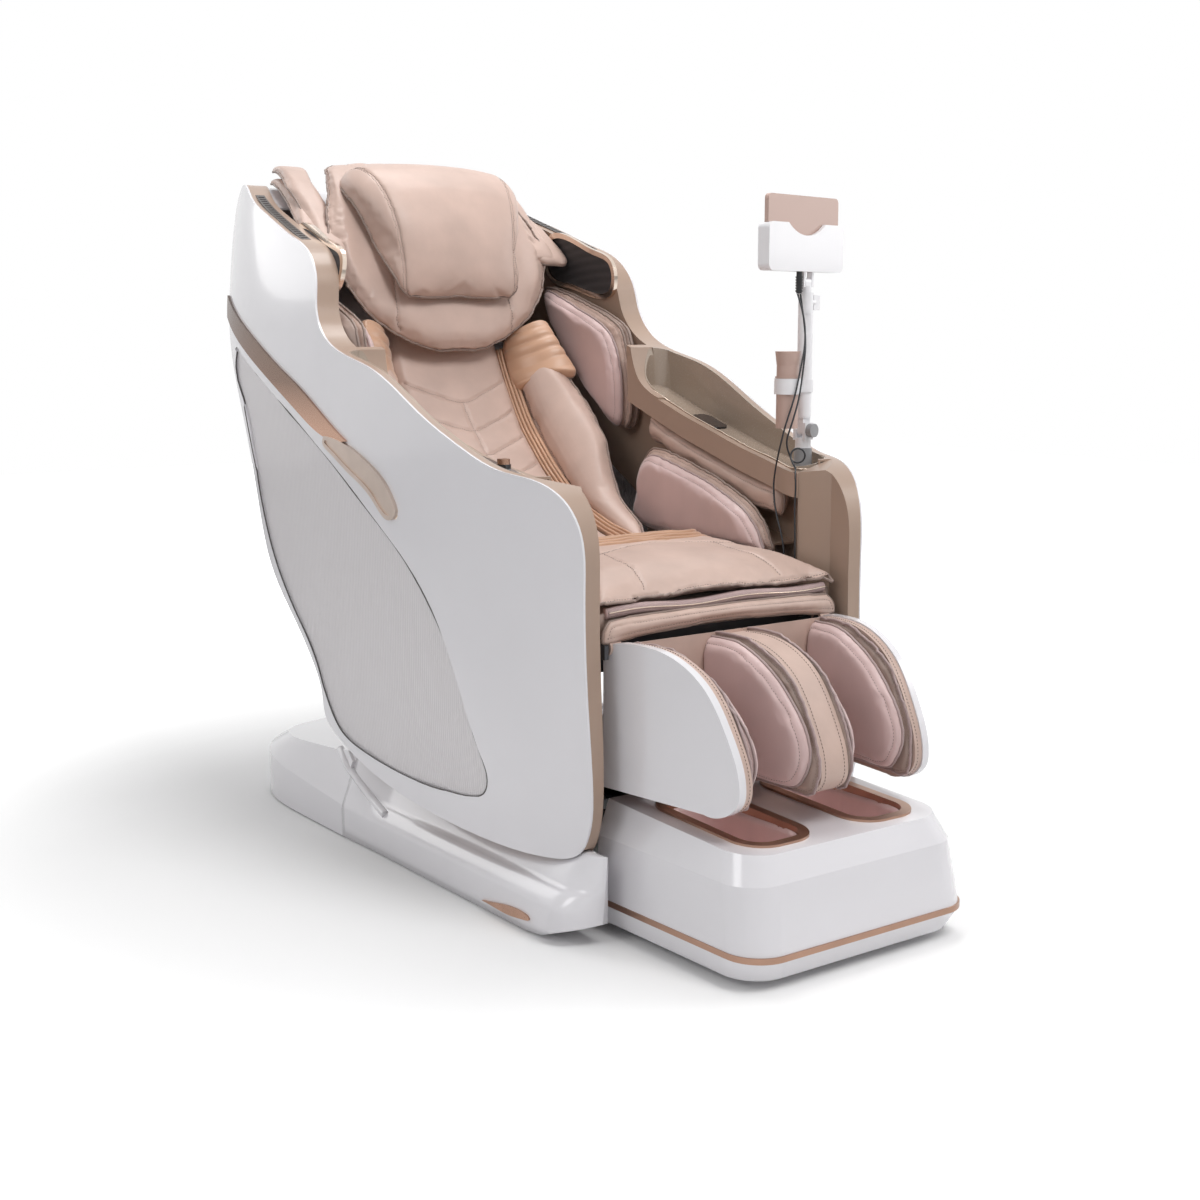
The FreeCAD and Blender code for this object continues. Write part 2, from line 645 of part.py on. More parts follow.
def back_frame(back_inside):
    half = 13.0
    tube = box(RAIL_INNER + 35, RAIL_INNER + 62, -half, half, TRACK_LOW - 30, TRACK_HIGH + 30)
    outer = RAIL_INNER + 62
    low = box(-outer, outer, -half, half, TRACK_LOW - 30, TRACK_LOW)
    high = box(-outer, outer, -half, half, TRACK_HIGH, TRACK_HIGH + 30)
    upright = fuse(tilted(fuse(tube, mirrored(tube), low, high)))
    lean = math.radians(TRACK_LEAN)
    end_y = TRACK_Y + TRACK_LOW * math.sin(lean)
    end_z = TRACK_Z + TRACK_LOW * math.cos(lean)
    foot = side_prism(outer - 27, outer, *straight([
        (SEAT_BEAM_REAR, SEAT_BEAM_TOP - SEAT_BEAM_HEIGHT),
        (SEAT_BEAM_REAR + 18, SEAT_BEAM_TOP - SEAT_BEAM_HEIGHT), (end_y + 33, end_z + 12),
        (end_y - 7, end_z + 34), (SEAT_BEAM_REAR, SEAT_BEAM_TOP)]))
    arms = [tilted(box(outer - 5, FAR, -12, 12, s, s + 30)).common(skin(LINER_GAP + LINER_WALL))
            for s in (280, 400)]
    posts = [tilted(box(200, 222, half, 500, s, s + 30)).common(back_inside) for s in (0, 380)]
    solid = fuse(upright, foot, mirrored(foot), *arms, *[mirrored(arm) for arm in arms])
    return fuse(solid, *posts, *[mirrored(post) for post in posts])


def track_rails():
    rail = box(RAIL_INNER, RAIL_INNER + RAIL_WIDTH, -RAIL_DEPTH / 2, RAIL_DEPTH / 2,
               TRACK_LOW, TRACK_HIGH)
    slot_half = GUIDE_R + GUIDE_CLEARANCE
    slot = box(RAIL_INNER - 1, RAIL_INNER + 14, -slot_half, slot_half, TRACK_LOW, TRACK_HIGH)
    rail = rail.cut(slot)
    return tilted(both(rail))


def carriage():
    half = CARRIAGE_LENGTH / 2
    body = box(-150, 150, -CARRIAGE_DEPTH / 2, CARRIAGE_DEPTH / 2, -half, half)
    body = body.cut(box(-110, 110, -CARRIAGE_DEPTH / 2 + 5, CARRIAGE_DEPTH, -half + 8, half - 8))
    cheek = box(120, 132, -SHAFT_FORWARD - 14, -CARRIAGE_DEPTH / 2, -16, 16)
    bore = rod_x(-140, 140, -SHAFT_FORWARD, 0, SHAFT_R + RUN_CLEARANCE)
    guides = [rod_x(150, RAIL_INNER + 13.5, 0, z, GUIDE_R) for z in (-40, 40)]
    side = fuse(cheek, *guides)
    motor = rod_x(-70, 50, 14, 0, 26)
    gearbox = box(50, 95, -15, 36, -30, 30)
    solid = fuse(body, side, mirrored(side), motor, gearbox).cut(bore)
    solid.translate(vec(0, 0, CARRIAGE_REST))
    return tilted(solid)


def kneading_shaft():
    shaft = rod_x(-134, 134, -SHAFT_FORWARD, 0, SHAFT_R)
    wheel = rod_x(-8, 8, -SHAFT_FORWARD, 0, 15)
    hubs = [rod_x(x - 6, x + 6, -SHAFT_FORWARD, 2, 12) for x in (-50, 50)]
    solid = fuse(shaft, wheel, *hubs)
    solid.translate(vec(0, 0, CARRIAGE_REST))
    return tilted(solid)


def roller_arm_frame():
    """Two V-shaped arms on the shaft, each with an axle for an upper and a lower roller."""
    y = -SHAFT_FORWARD
    forward = 14.0
    arms = []
    for side in (-1, 1):
        x0 = side * ARM_X - 6
        hub = rod_x(x0, x0 + 12, y, 0, ARM_HUB_R)
        for up in (-1, 1):
            tip = rod_x(x0, x0 + 12, y - forward, up * ROLLER_REACH, 9)
            axle_far = x0 + 12 + 29 if side > 0 else x0 - 29
            axle = rod_x(min(x0, axle_far), max(x0 + 12, axle_far), y - forward,
                         up * ROLLER_REACH, AXLE_R)
            web = Part.makePolygon([vec(x0, y - 9, 0), vec(x0, y + 8, 0),
                                    vec(x0, y - forward + 8, up * ROLLER_REACH),
                                    vec(x0, y - forward - 8, up * ROLLER_REACH),
                                    vec(x0, y - 9, 0)])
            hub = fuse(hub, tip, axle, Part.Face(web).extrude(vec(12, 0, 0)))
        arms.append(hub.cut(rod_x(x0 - 1, x0 + 13, y, 0, SHAFT_R + RUN_CLEARANCE)))
    tie = rod_x(-ARM_X, ARM_X, y - forward - 3, ROLLER_REACH * 0.62, 4)
    solid = fuse(arms[0], arms[1], tie)
    solid.translate(vec(0, 0, CARRIAGE_REST))
    return tilted(solid)


def rollers(up):
    wheels = []
    for side in (-1, 1):
        x0 = ARM_X + 7 if side > 0 else -ARM_X - 7 - ROLLER_WIDTH
        wheel = rod_x(x0, x0 + ROLLER_WIDTH, -SHAFT_FORWARD - 14, up * ROLLER_REACH, ROLLER_R)
        edges = [edge for edge in wheel.Edges if edge.Curve.TypeId == "Part::GeomCircle"]
        wheel = wheel.makeFillet(6.0, edges)
        bore = rod_x(x0 - 1, x0 + ROLLER_WIDTH + 1, -SHAFT_FORWARD - 14, up * ROLLER_REACH,
                     AXLE_R + RUN_CLEARANCE)
        wheels.append(wheel.cut(bore))
    solid = Part.makeCompound(wheels)
    solid.translate(vec(0, 0, CARRIAGE_REST))
    return tilted(solid)


def back_pad():
    centre = strip(BACK_FRONT, BACK_THICK, -BACK_HALF_WIDTH, BACK_HALF_WIDTH)
    plan = [vec(x, -FAR, z) for x, z in BOLSTER_PLAN + BOLSTER_PLAN[:1]]
    outline = Part.Face(Part.makePolygon(plan)).extrude(vec(0, 3 * FAR, 0))
    bolster = strip(BOLSTER_FRONT, BOLSTER_THICK, 100, 300).common(outline)
    return fuse(centre, bolster, mirrored(bolster))


def neck_pad():
    """The shawl behind the pillow, and the side leaf that fills the wing on each side of it."""
    whole = NECK_PLAN + [(-x, z) for x, z in NECK_PLAN[::-1]]
    plan = [vec(x, 0, z) for x, z in whole + whole[:1]]
    outline = Part.Face(Part.makePolygon(plan)).extrude(vec(0, 3 * FAR, 0))
    shawl = strip(NECK_FRONT, NECK_THICK, -FAR, FAR).common(outline)
    leaf = strip(LEAF_FRONT, LEAF_THICK, NECK_HALF_WIDTH + 2, FAR)
    leaf = leaf.common(skin(LINER_GAP + LINER_WALL + LEAF_ROOM))
    return Part.makeCompound([shawl, leaf, mirrored(leaf)])


def head_pillow():
    face = PILLOW_FACE
    rear = [(428, 1306), (366, 1223), (320, 1130), (296, 1076)]
    body = side_prism(-FAR, FAR, face, [face[-1], rear[0]], rear, [rear[-1], face[0]])
    low_z = face[0][1] - 5
    high_z = face[-1][1] + 5
    corners = [vec(-PILLOW_HALF_LOW, 0, low_z), vec(PILLOW_HALF_LOW, 0, low_z),
               vec(PILLOW_HALF_TOP, 0, 1290), vec(PILLOW_HALF_TOP - 26, 0, high_z),
               vec(-PILLOW_HALF_TOP + 26, 0, high_z), vec(-PILLOW_HALF_TOP, 0, 1290),
               vec(-PILLOW_HALF_LOW, 0, low_z)]
    front = Part.Face(Part.makePolygon(corners)).extrude(vec(0, 900, 0))
    return body.common(front)


def shoulder_pad():
    runs = [[(268, 986), (232, 1022), (176, 1042), (132, 1034), (104, 1006), (76, 906), (84, 812), (124, 806)],
            [(124, 806), (212, 872), (268, 986)]]
    depth = LINER_GAP + LINER_WALL + SOFT_GAP
    return layer(side_prism(0, FAR, *runs), depth, depth + SHOULDER_PAD_THICK)


def hip_pad():
    runs = [[(-6, 592), (0, 715), (-18, 745), (-60, 748), (-235, 708), (-390, 664), (-430, 645),
             (-438, 620), (-420, 596)], [(-420, 596), (-6, 592)]]
    depth = CHANNEL_INNER + SOFT_GAP
    return layer(side_prism(0, FAR, *runs), depth, depth + HIP_PAD_THICK)


def arm_pad():
    zone = band(SHELF, -LEDGE_HEIGHT - SOFT_GAP - ARM_PAD_THICK, -LEDGE_HEIGHT - SOFT_GAP,
                -440, -30)
    return layer(zone, LINER_GAP + LINER_WALL + 6, TRAY_INNER + LEDGE_WIDTH - 2)


def seat_pad():
    rear = [(-178, 568), (-150, 530)]
    profile = side_prism(-FAR, FAR, SEAT_TOP, rear, [(-150, 530), (30, 530)],
                         [(30, 530), (30, SEAT_DECK_TOP + SOFT_GAP)],
                         [(30, SEAT_DECK_TOP + SOFT_GAP), (SEAT_FRONT_Y, SEAT_DECK_TOP + SOFT_GAP)],
                         [(SEAT_FRONT_Y, SEAT_DECK_TOP + SOFT_GAP), SEAT_TOP[0]])
    side = SEAT_FLARE + [(SEAT_HALF_FRONT, SEAT_FRONT_Y), (SEAT_HALF_FRONT, SEAT_FRONT_Y - 20)]
    ring = [(SEAT_HALF_REAR, 100)] + side + [(-x, y) for x, y in side[::-1]] + [(-SEAT_HALF_REAR, 100)]
    plan = [vec(x, y, 400) for x, y in ring + ring[:1]]
    return profile.common(Part.Face(Part.makePolygon(plan)).extrude(vec(0, 0, 300)))


def seat_flap():
    y1 = SEAT_FRONT_Y - SOFT_GAP
    runs = straight([(y1, FLAP_LOW), (y1, FLAP_HIGH), (y1 - FLAP_THICK * 0.5, FLAP_HIGH - 8),
                     (y1 - FLAP_THICK, FLAP_LOW + 2)])
    return side_prism(-FLAP_HALF, FLAP_HALF, *runs)


def sled_frame():
    low = RAIL_TOP + GUIDE_CLEARANCE
    beam = box(222, 248, -300, 100, low, low + 40)
    lug_x = SEAT_BEAM_OUTER + 2
    lug = side_prism(lug_x, lug_x + LUG_THICK, *straight([
        (RECLINE_Y - 80, low), (RECLINE_Y + 80, low), (RECLINE_Y + 24, RECLINE_Z + 24),
        (RECLINE_Y - 24, RECLINE_Z + 24)]))
    step = box(222, lug_x + LUG_THICK, RECLINE_Y - 80, RECLINE_Y + 80, low, low + 40)
    bore = rod_x(lug_x - 2, lug_x + LUG_THICK + 2, RECLINE_Y, RECLINE_Z,
                 RECLINE_PIN_R + RUN_CLEARANCE)
    side = fuse(beam, step, lug).cut(bore)
    front = fuse(box(-222, 222, -300, -270, low, low + 40), box(-12, 12, -300, -262, 46, low + 4),
                 rod_y(0, -270, 60, 60, 9))
    rear = box(-222, 222, 70, 100, low + 14, low + 40)
    return fuse(side, mirrored(side), front, rear)


def base_frame():
    beam = box(BEAM_X, BEAM_X + BEAM_WIDTH, -525, 560, BEAM_LOW, BEAM_HIGH)
    beam = beam.cut(box(BEAM_X - 1, BEAM_X + BEAM_WIDTH - 6, -530, 570, BEAM_LOW + 6, BEAM_HIGH - 6))
    rail = box(BEAM_X + 9, BEAM_X + 30, -490, 110, BEAM_HIGH, RAIL_TOP)
    axle_arm = box(BEAM_X + BEAM_WIDTH - 6, WHEEL_X - 14, WHEEL_Y - 14, WHEEL_Y + 14, 14, 44)
    axle = rod_x(BEAM_X + BEAM_WIDTH - 6, WHEEL_X + 16, WHEEL_Y, WHEEL_Z, AXLE_R)
    side = fuse(beam, rail, axle_arm, axle)
    outer = CHEEK_INNER
    crosses = [box(-outer, outer, y, y + 36, BEAM_LOW + 4, BEAM_HIGH - 4) for y in (-505, -120, 100)]
    crosses.append(box(-22, 22, -100, 110, BEAM_LOW, 30))
    tail = box(-BEAM_X, BEAM_X, 500, 536, BEAM_LOW + 4, BEAM_HIGH - 4)
    return fuse(side, mirrored(side), tail, *crosses)



def cheek_plan(inset):
    """The plan of one side of the base, rounded at its front outer corner."""
    half = BASE_HALF + 1 - inset
    front = BASE_FRONT + inset
    r = CHEEK_ROUND - inset
    low = CHEEK_INNER + inset
    points = [vec(half, BASE_SEAM_Y, 0), vec(half, front + r, 0),
              vec(half - 0.293 * r, front + 0.293 * r, 0), vec(half - r, front, 0),
              vec(low, front, 0), vec(low, BASE_SEAM_Y, 0)]
    edges = [Part.makeLine(points[0], points[1]),
             Part.Arc(points[1], points[2], points[3]).toShape(),
             Part.makeLine(points[3], points[4]), Part.makeLine(points[4], points[5]),
             Part.makeLine(points[5], points[0])]
    return Part.Face(Part.Wire(edges)).extrude(vec(0, 0, 300))


def cheek_section(inset):
    """The stepped cross-section of one side of the base: a foot, a ledge and a sloped cheek."""
    outer = [(x - inset, z - (inset if k > 1 else 0)) for k, (x, z) in enumerate(SIDE_SECTION)]
    low = CHEEK_INNER + inset
    points = outer + [(low, outer[-1][1]), (low, outer[0][1])]
    if inset:
        points[0] = (points[0][0], -5)
        points[-1] = (low, -5)
    spots = [vec(x, BASE_FRONT - 10, z) for x, z in points]
    length = BASE_SEAM_Y - BASE_FRONT + 10
    return Part.Face(Part.makePolygon(spots + [spots[0]])).extrude(vec(0, length, 0))


def rib():
    """A diagonal rib on the cheek, from the floor edge of the side up to the rear deck."""
    return side_prism(CHEEK_INNER + 6, BASE_HALF, *straight([(-18, 74), (8, 70), (236, 178), (214, 190)]))


def base_side_cover():
    body = cheek_section(0).common(cheek_plan(0))
    body = body.cut(cheek_section(BASE_WALL).common(cheek_plan(BASE_WALL)))
    toe_runs = [[(-760, -5), (-520, -5)], [(-520, -5), (-520, BASE_GAP)],
                [(-520, BASE_GAP), (-570, 9), (-610, 24)], [(-610, 24), (-760, 70)],
                [(-760, 70), (-760, -5)]]
    body = body.cut(side_prism(280, 380, *toe_runs))
    front_rib = rib().common(box(0, 500, -200, BASE_SEAM_Y, 0, 300)).common(cheek_section(-RIB_PROUD))
    return fuse(body, front_rib.cut(cheek_section(BASE_WALL)))


def plan_curve(inset, z_front, rise):
    """The rear outline of the base in plan, on a plane that rises to the rear."""
    right = [(x - inset, min(y, BASE_REAR - inset)) for x, y in REAR_PLAN[:-2]]
    right = [(x, y - inset * (y - 380) / (BASE_REAR - 380) if y > 380 else y) for x, y in right]
    right = right + [(100 - inset / 4, REAR_PLAN[-2][1] - inset), (0, BASE_REAR - inset)]
    points = right + [(-x, y) for x, y in right[::-1]][1:]
    spots = [vec(x, y, z_front + (y - BASE_SEAM_Y) * rise) for x, y in points]
    curve = Part.BSplineCurve()
    curve.interpolate(spots)
    return Part.Wire([curve.toShape(), Part.makeLine(spots[-1], spots[0])])


def deck_solid(inset):
    wires = [plan_curve(inset, 0, 0), plan_curve(inset, DECK_RIM_Z - inset, DECK_RIM_RISE),
             plan_curve(DECK_BEVEL + inset, DECK_TOP_Z - inset, DECK_TOP_RISE)]
    return Part.makeLoft(wires, True, True)


def base_cover_rear():
    body = deck_solid(0).cut(deck_solid(BASE_WALL)).cut(box(-500, 500, 0, 900, -10, BASE_GAP))
    back_rib = rib().common(box(0, 500, BASE_SEAM_Y, 400, 0, 300)).common(deck_solid(-RIB_PROUD))
    back_rib = back_rib.cut(deck_solid(BASE_WALL))
    body = fuse(body, back_rib, mirrored(back_rib))
    gate = box(-BEAM_X - BEAM_WIDTH - 20, BEAM_X + BEAM_WIDTH + 20, BASE_SEAM_Y - 5,
               BASE_SEAM_Y + BASE_WALL + 1, 0, 120)
    return body.cut(gate).cut(box(POWER_X0, POWER_X1, 600, 720, POWER_Z0, POWER_Z1))


def power_inlet():
    body = box(POWER_X0, POWER_X1, POWER_Y - 42, POWER_Y, POWER_Z0, POWER_Z1)
    socket = box(POWER_X0 + 12, POWER_X0 + 44, POWER_Y - 20, POWER_Y + 1, POWER_Z0 + 13, POWER_Z1 - 13)
    pins = [box(POWER_X0 + 27 + dx, POWER_X0 + 29 + dx, POWER_Y - 22, POWER_Y - 4, 46 + dz, 50 + dz)
            for dx, dz in ((-8, -4), (0, 3), (8, -4))]
    window = box(SWITCH_X - 11, SWITCH_X + 11, POWER_Y - 16, POWER_Y + 1, 34, 62)
    return fuse(body.cut(socket), *pins).cut(window)



def power_switch():
    rocker = side_prism(SWITCH_X - 10, SWITCH_X + 10, *straight([
        (POWER_Y - 9, 36), (POWER_Y + 3.5, 37), (POWER_Y + 0.5, 48), (POWER_Y + 3.5, 59),
        (POWER_Y - 9, 60)]))
    return rocker


def drive_units():
    """The actuator that pushes the sled, the air pump and the control box, on the base frame."""
    tube = rod_y(0, -84, 80, 60, 16)
    tube = tube.cut(rod_y(0, -262, 70, 60, 9 + RUN_CLEARANCE))
    foot = box(-24, 24, -120, -84, BEAM_HIGH - 4, 78).cut(rod_y(0, -262, 0, 60, 9 + RUN_CLEARANCE))
    mount = box(-24, 24, -84, -60, BEAM_HIGH - 6, BEAM_HIGH - 1.5)
    pump = box(-170, -40, 300, 440, 24, 130)
    control = box(30, 180, 290, 450, 24, 90)
    tray = box(-190, 190, 280, 460, 18, 24)
    return Part.makeCompound([fuse(tube, foot, mount), fuse(pump, control, tray)])


def rubber_feet():
    spots = [(x, y) for x in (-240, 240) for y in (-500, 30, 500)]
    spots.append((0, 0))
    return Part.makeCompound([rod_z(x, y, 0, BEAM_LOW, FOOT_PAD_R) for x, y in spots])


def transport_wheel():
    tyre = rod_x(WHEEL_X - 11, WHEEL_X + 11, WHEEL_Y, WHEEL_Z, WHEEL_R)
    tyre = tyre.cut(rod_x(WHEEL_X + 3, WHEEL_X + 12, WHEEL_Y, WHEEL_Z, WHEEL_R - 8))
    hub = rod_x(WHEEL_X - 11, WHEEL_X + 11, WHEEL_Y, WHEEL_Z, 10)
    return fuse(tyre, hub).cut(rod_x(WHEEL_X - 20, WHEEL_X + 20, WHEEL_Y, WHEEL_Z,
                                     AXLE_R + RUN_CLEARANCE))


def base_accent():
    runs = [[(-391, 20), (-430, 27), (-490, 36), (-536, 34)],
            [(-536, 34), (-541, 28), (-528, 24), (-470, 18), (-391, 20)]]
    lens = side_prism(BASE_HALF - 3, BASE_HALF + 3, *runs)
    return lens


def calf_prism(inset=0.0):
    """The side area of the leg unit, moved inwards along its curved top and front."""
    top = CALF_TOP
    if inset:
        top = [(y, z) for y, z in offset(CALF_TOP, -inset)]
        top[0] = (CALF_REAR_Y, CALF_TOP[0][1] - inset)
        top[-1] = (CALF_TOP[-1][0], CALF_LOW_Z + inset)
    low = (CALF_REAR_Y, CALF_LOW_Z + inset)
    return side_prism(0, FAR, top, [top[-1], low], [low, top[0]])


def calf_slab(outer, inner):
    """A wall between two depths from the outer face of the leg unit, which narrows to the front."""
    def plane_x(y, depth):
        share = (CALF_REAR_Y + 12 - y) / (CALF_REAR_Y - CALF_FRONT_Y)
        return CALF_HALF_REAR - (CALF_HALF_REAR - CALF_HALF_FRONT) * share - depth

    y0 = CALF_REAR_Y + 12
    y1 = CALF_FRONT_Y - 10
    spots = [vec(plane_x(y0, outer), y0, 0), vec(plane_x(y1, outer), y1, 0),
             vec(plane_x(y1, inner), y1, 0), vec(plane_x(y0, inner), y0, 0)]
    return Part.Face(Part.makePolygon(spots + [spots[0]])).extrude(vec(0, 0, 700))


def calf_cover():
    solid = calf_prism().common(calf_slab(0, CALF_COVER_THICK))
    ear = rod_x(200, 260, LEG_PIVOT_Y, LEG_PIVOT_Z, LEG_PIN_R + 6)
    return solid.cut(ear)


def calf_frame():
    web = calf_prism(3.0).common(calf_slab(CALF_COVER_THICK, CALF_COVER_THICK + CALF_WEB_THICK))
    divider = calf_prism(8.0).common(box(0, DIVIDER_HALF, -900, -580, 0, 600))
    wall = calf_prism(3.0).common(box(0, 300, CALF_REAR_Y - CALF_WALL_DEPTH, CALF_REAR_Y, 0, 600))
    wall = wall.common(calf_slab(CALF_COVER_THICK, FAR))
    ear = rod_x(226, 249, LEG_PIVOT_Y, LEG_PIVOT_Z, LEG_PIN_R + 5.7)
    half = fuse(web, divider, wall, ear)
    whole = fuse(half, mirrored(half))
    pin_bore = rod_x(-300, 300, LEG_PIVOT_Y, LEG_PIVOT_Z, LEG_PIN_R + RUN_CLEARANCE)
    rod_bores = [rod_z(x, CALF_REAR_Y - CALF_WALL_DEPTH / 2, 200, 470, ROD_R + RUN_CLEARANCE)
                 for x in (-ROD_X, ROD_X)]
    return whole.cut([pin_bore] + rod_bores)


def calf_pads():
    depth = CALF_COVER_THICK + CALF_WEB_THICK + SOFT_GAP
    room = box(0, 300, -900, CALF_REAR_Y - CALF_WALL_DEPTH - 6, 0, 600)
    outer = calf_prism(14.0).common(calf_slab(depth, depth + CALF_PAD_THICK)).common(room)
    inner = calf_prism(16.0).common(box(DIVIDER_HALF + SOFT_GAP, DIVIDER_HALF + CALF_PAD_THICK,
                                        -900, -500, 0, 600)).common(room)
    return Part.makeCompound([outer, inner, mirrored(outer), mirrored(inner)])


def foot_wire(z, half, front, rear, grow=0.0):
    """A rounded plan outline of the foot box at one height, a little wider at the rear."""
    wide = half + FOOT_REAR_WIDER + grow
    half = half + grow
    front = front - grow
    rear = rear + grow
    r = FOOT_CORNER
    s = r * 0.293
    k = (wide - half) * r / (rear - front)
    points = [vec(wide, rear, z), vec(half + k, front + r, z), vec(half - s, front + s, z),
              vec(half - r, front, z), vec(-half + r, front, z), vec(-half + s, front + s, z),
              vec(-half - k, front + r, z), vec(-wide, rear, z)]
    edges = [Part.makeLine(points[0], points[1]), Part.Arc(points[1], points[2], points[3]).toShape(),
             Part.makeLine(points[3], points[4]), Part.Arc(points[4], points[5], points[6]).toShape(),
             Part.makeLine(points[6], points[7]), Part.makeLine(points[7], points[0])]
    return Part.Wire(edges)


def foot_solid(grow=0.0):
    wires = [foot_wire(z, half, front, rear, grow) for z, half, front, rear in FOOT_LEVELS]
    return Part.makeLoft(wires, True, True)


def above_foot_top(drop=0.0):
    return side_prism(-FAR, FAR, *straight([
        (-500, FOOT_TOP_REAR + 4 - drop), (-1000, FOOT_TOP_FRONT - 3 - drop), (-1000, 300), (-500, 300)]))


def well_prism(grow, z0, z1):
    half = WELL_HALF + grow
    r = WELL_CORNER + grow
    solid = box(WELL_X - half, WELL_X + half, WELL_FRONT - grow, WELL_REAR + grow, z0, z1)
    uprights = [edge for edge in solid.Edges if abs(edge.tangentAt(0).z) > 0.99]
    return solid.makeFillet(r, uprights)


def foot_housing():
    outer = foot_solid().cut(above_foot_top())
    inner = foot_solid(-FOOT_WALL).cut(above_foot_top(FOOT_WALL))
    inner = inner.cut(box(-300, 300, -1000, -500, 0, 15 + FOOT_WALL))
    solid = outer.cut(inner)
    wells = well_prism(0, FOOT_ROLLER_Z + 20, 260)
    groove = trim_ring(3.0)
    solid = solid.cut([wells, mirrored(wells), groove])
    bearing = box(-6, 6, FOOT_ROLLER_Y - 22, FOOT_ROLLER_Y + 22, 15, FOOT_ROLLER_Z + 14)
    ends = [box(x, x + 12, FOOT_ROLLER_Y - 22, FOOT_ROLLER_Y + 22, 15, FOOT_ROLLER_Z + 14)
            for x in (-218, 206)]
    rods = [rod_z(x, CALF_REAR_Y - CALF_WALL_DEPTH / 2, FOOT_SOLE_Z + FOOT_WALL, 460, ROD_R)
            for x in (-ROD_X, ROD_X)]
    glides = [rod_z(x, y, 6, FOOT_SOLE_Z, 14) for x in (-150, 150) for y in (-880, -640)]
    solid = fuse(solid, bearing, *ends, *rods, *glides)
    return solid.cut(rod_x(-230, 230, FOOT_ROLLER_Y, FOOT_ROLLER_Z, SHAFT_R + RUN_CLEARANCE))



def trim_ring(depth):
    """The bronze line let into the foot box all round but the rear."""
    half, front, rear = FOOT_LEVELS[1][1:]
    outer = Part.Face(foot_wire(TRIM_LINE_Z, half, front, rear, 1.0))
    inner = Part.Face(foot_wire(TRIM_LINE_Z, half, front, rear, 1.0 - depth))
    ring = outer.extrude(vec(0, 0, TRIM_LINE_HEIGHT)).cut(inner.extrude(vec(0, 0, TRIM_LINE_HEIGHT)))
    return ring.common(box(-400, 400, -1000, -590, 0, 200))


def well_rim():
    outer = well_prism(WELL_RIM, 150, 260)
    inner = well_prism(-2.0, 140, 270)
    cap = above_foot_top().cut(above_foot_top(-4.0))
    collar = well_prism(0, 150, 260).cut(inner).cut(above_foot_top()).common(
        box(0, 300, -1000, -500, 190, 260))
    return fuse(outer.cut(inner).common(cap), collar)


def foot_trims():
    rim = well_rim()
    return Part.makeCompound([trim_ring(3.0), rim, mirrored(rim)])


def foot_liner():
    top = 189.5
    low = FOOT_ROLLER_Z + FOOT_ROLLER_R + 3
    cup = well_prism(-0.3, low, top).cut(well_prism(-8.0, low + 6, top + 10))
    return cup


def foot_rollers():
    shaft = rod_x(-216, 216, FOOT_ROLLER_Y, FOOT_ROLLER_Z, SHAFT_R)
    wheels = []
    for side in (-1, 1):
        for dx in (-36, 0, 36):
            x = side * WELL_X + dx
            wheel = rod_x(x - 13, x + 13, FOOT_ROLLER_Y, FOOT_ROLLER_Z, FOOT_ROLLER_R)
            edges = [edge for edge in wheel.Edges if edge.Curve.TypeId == "Part::GeomCircle"]
            wheels.append(wheel.makeFillet(8.0, edges))
    return fuse(shaft, *wheels)


def turned(shape):
    moved = shape.copy()
    moved.rotate(vec(MAST_X, MAST_Y, 0), vec(0, 0, 1), MAST_TURN)
    return moved


def arm_mount():
    foot = rod_z(MAST_X, MAST_Y, 741, 790, 17)
    tray = layer(band(SHELF, -TRAY_DEPTH + TRAY_WALL, 60, -500, -400), 0, 200)
    return foot.common(tray)


def mast_fork():
    """The swivelling foot of the mast, a fork open at the top."""
    neck = rod_z(MAST_X, MAST_Y, 790 + SOFT_GAP, 810, 15)
    ears = [box(MAST_X - 13, MAST_X + 13, MAST_Y + y0, MAST_Y + y0 + 6, 806, KNUCKLE_Z + 14)
            for y0 in (-14, 8)]
    pin = rod_y(MAST_X, MAST_Y - 14, MAST_Y + 14, KNUCKLE_Z, 4)
    return turned(fuse(neck, *ears, pin))


def knuckle_knob():
    knob = rod_y(MAST_X, MAST_Y - 26, MAST_Y - 14 - SOFT_GAP, KNUCKLE_Z, 13)
    return turned(knob)


def mast_lower():
    tongue = box(MAST_X - 11, MAST_X + 11, MAST_Y - 7.5, MAST_Y + 7.5, KNUCKLE_Z, KNUCKLE_Z + 28)
    boss = rod_y(MAST_X, MAST_Y - 7.5, MAST_Y + 7.5, KNUCKLE_Z, 11)
    tube = rod_z(MAST_X, MAST_Y, KNUCKLE_Z + 24, MAST_SPLIT, MAST_R)
    bore = rod_z(MAST_X, MAST_Y, KNUCKLE_Z + 60, MAST_SPLIT + 1, MAST_INNER_R + RUN_CLEARANCE)
    solid = fuse(tongue, boss, tube).cut(bore)
    solid = solid.cut(rod_y(MAST_X, MAST_Y - 10, MAST_Y + 10, KNUCKLE_Z, 4 + RUN_CLEARANCE))
    return turned(fuse(solid, wand_clip()))


def mast_upper():
    tube = rod_z(MAST_X, MAST_Y, KNUCKLE_Z + 90, MAST_TOP, MAST_INNER_R)
    head = box(MAST_X - 9, MAST_X + 9, MAST_Y - 6, MAST_Y + 6, MAST_TOP - 8, MAST_TOP + 8)
    eye = rod_x(MAST_X - 9, MAST_X + 9, MAST_Y, MAST_TOP + 8, 6)
    collar = rod_z(MAST_X, MAST_Y, MAST_SPLIT + 0.5, MAST_SPLIT + 40, MAST_R)
    pin = rod_x(MAST_X - 16, MAST_X + 16, MAST_Y, MAST_TOP + 8, 3)
    return turned(fuse(tube, head, eye, collar, pin))


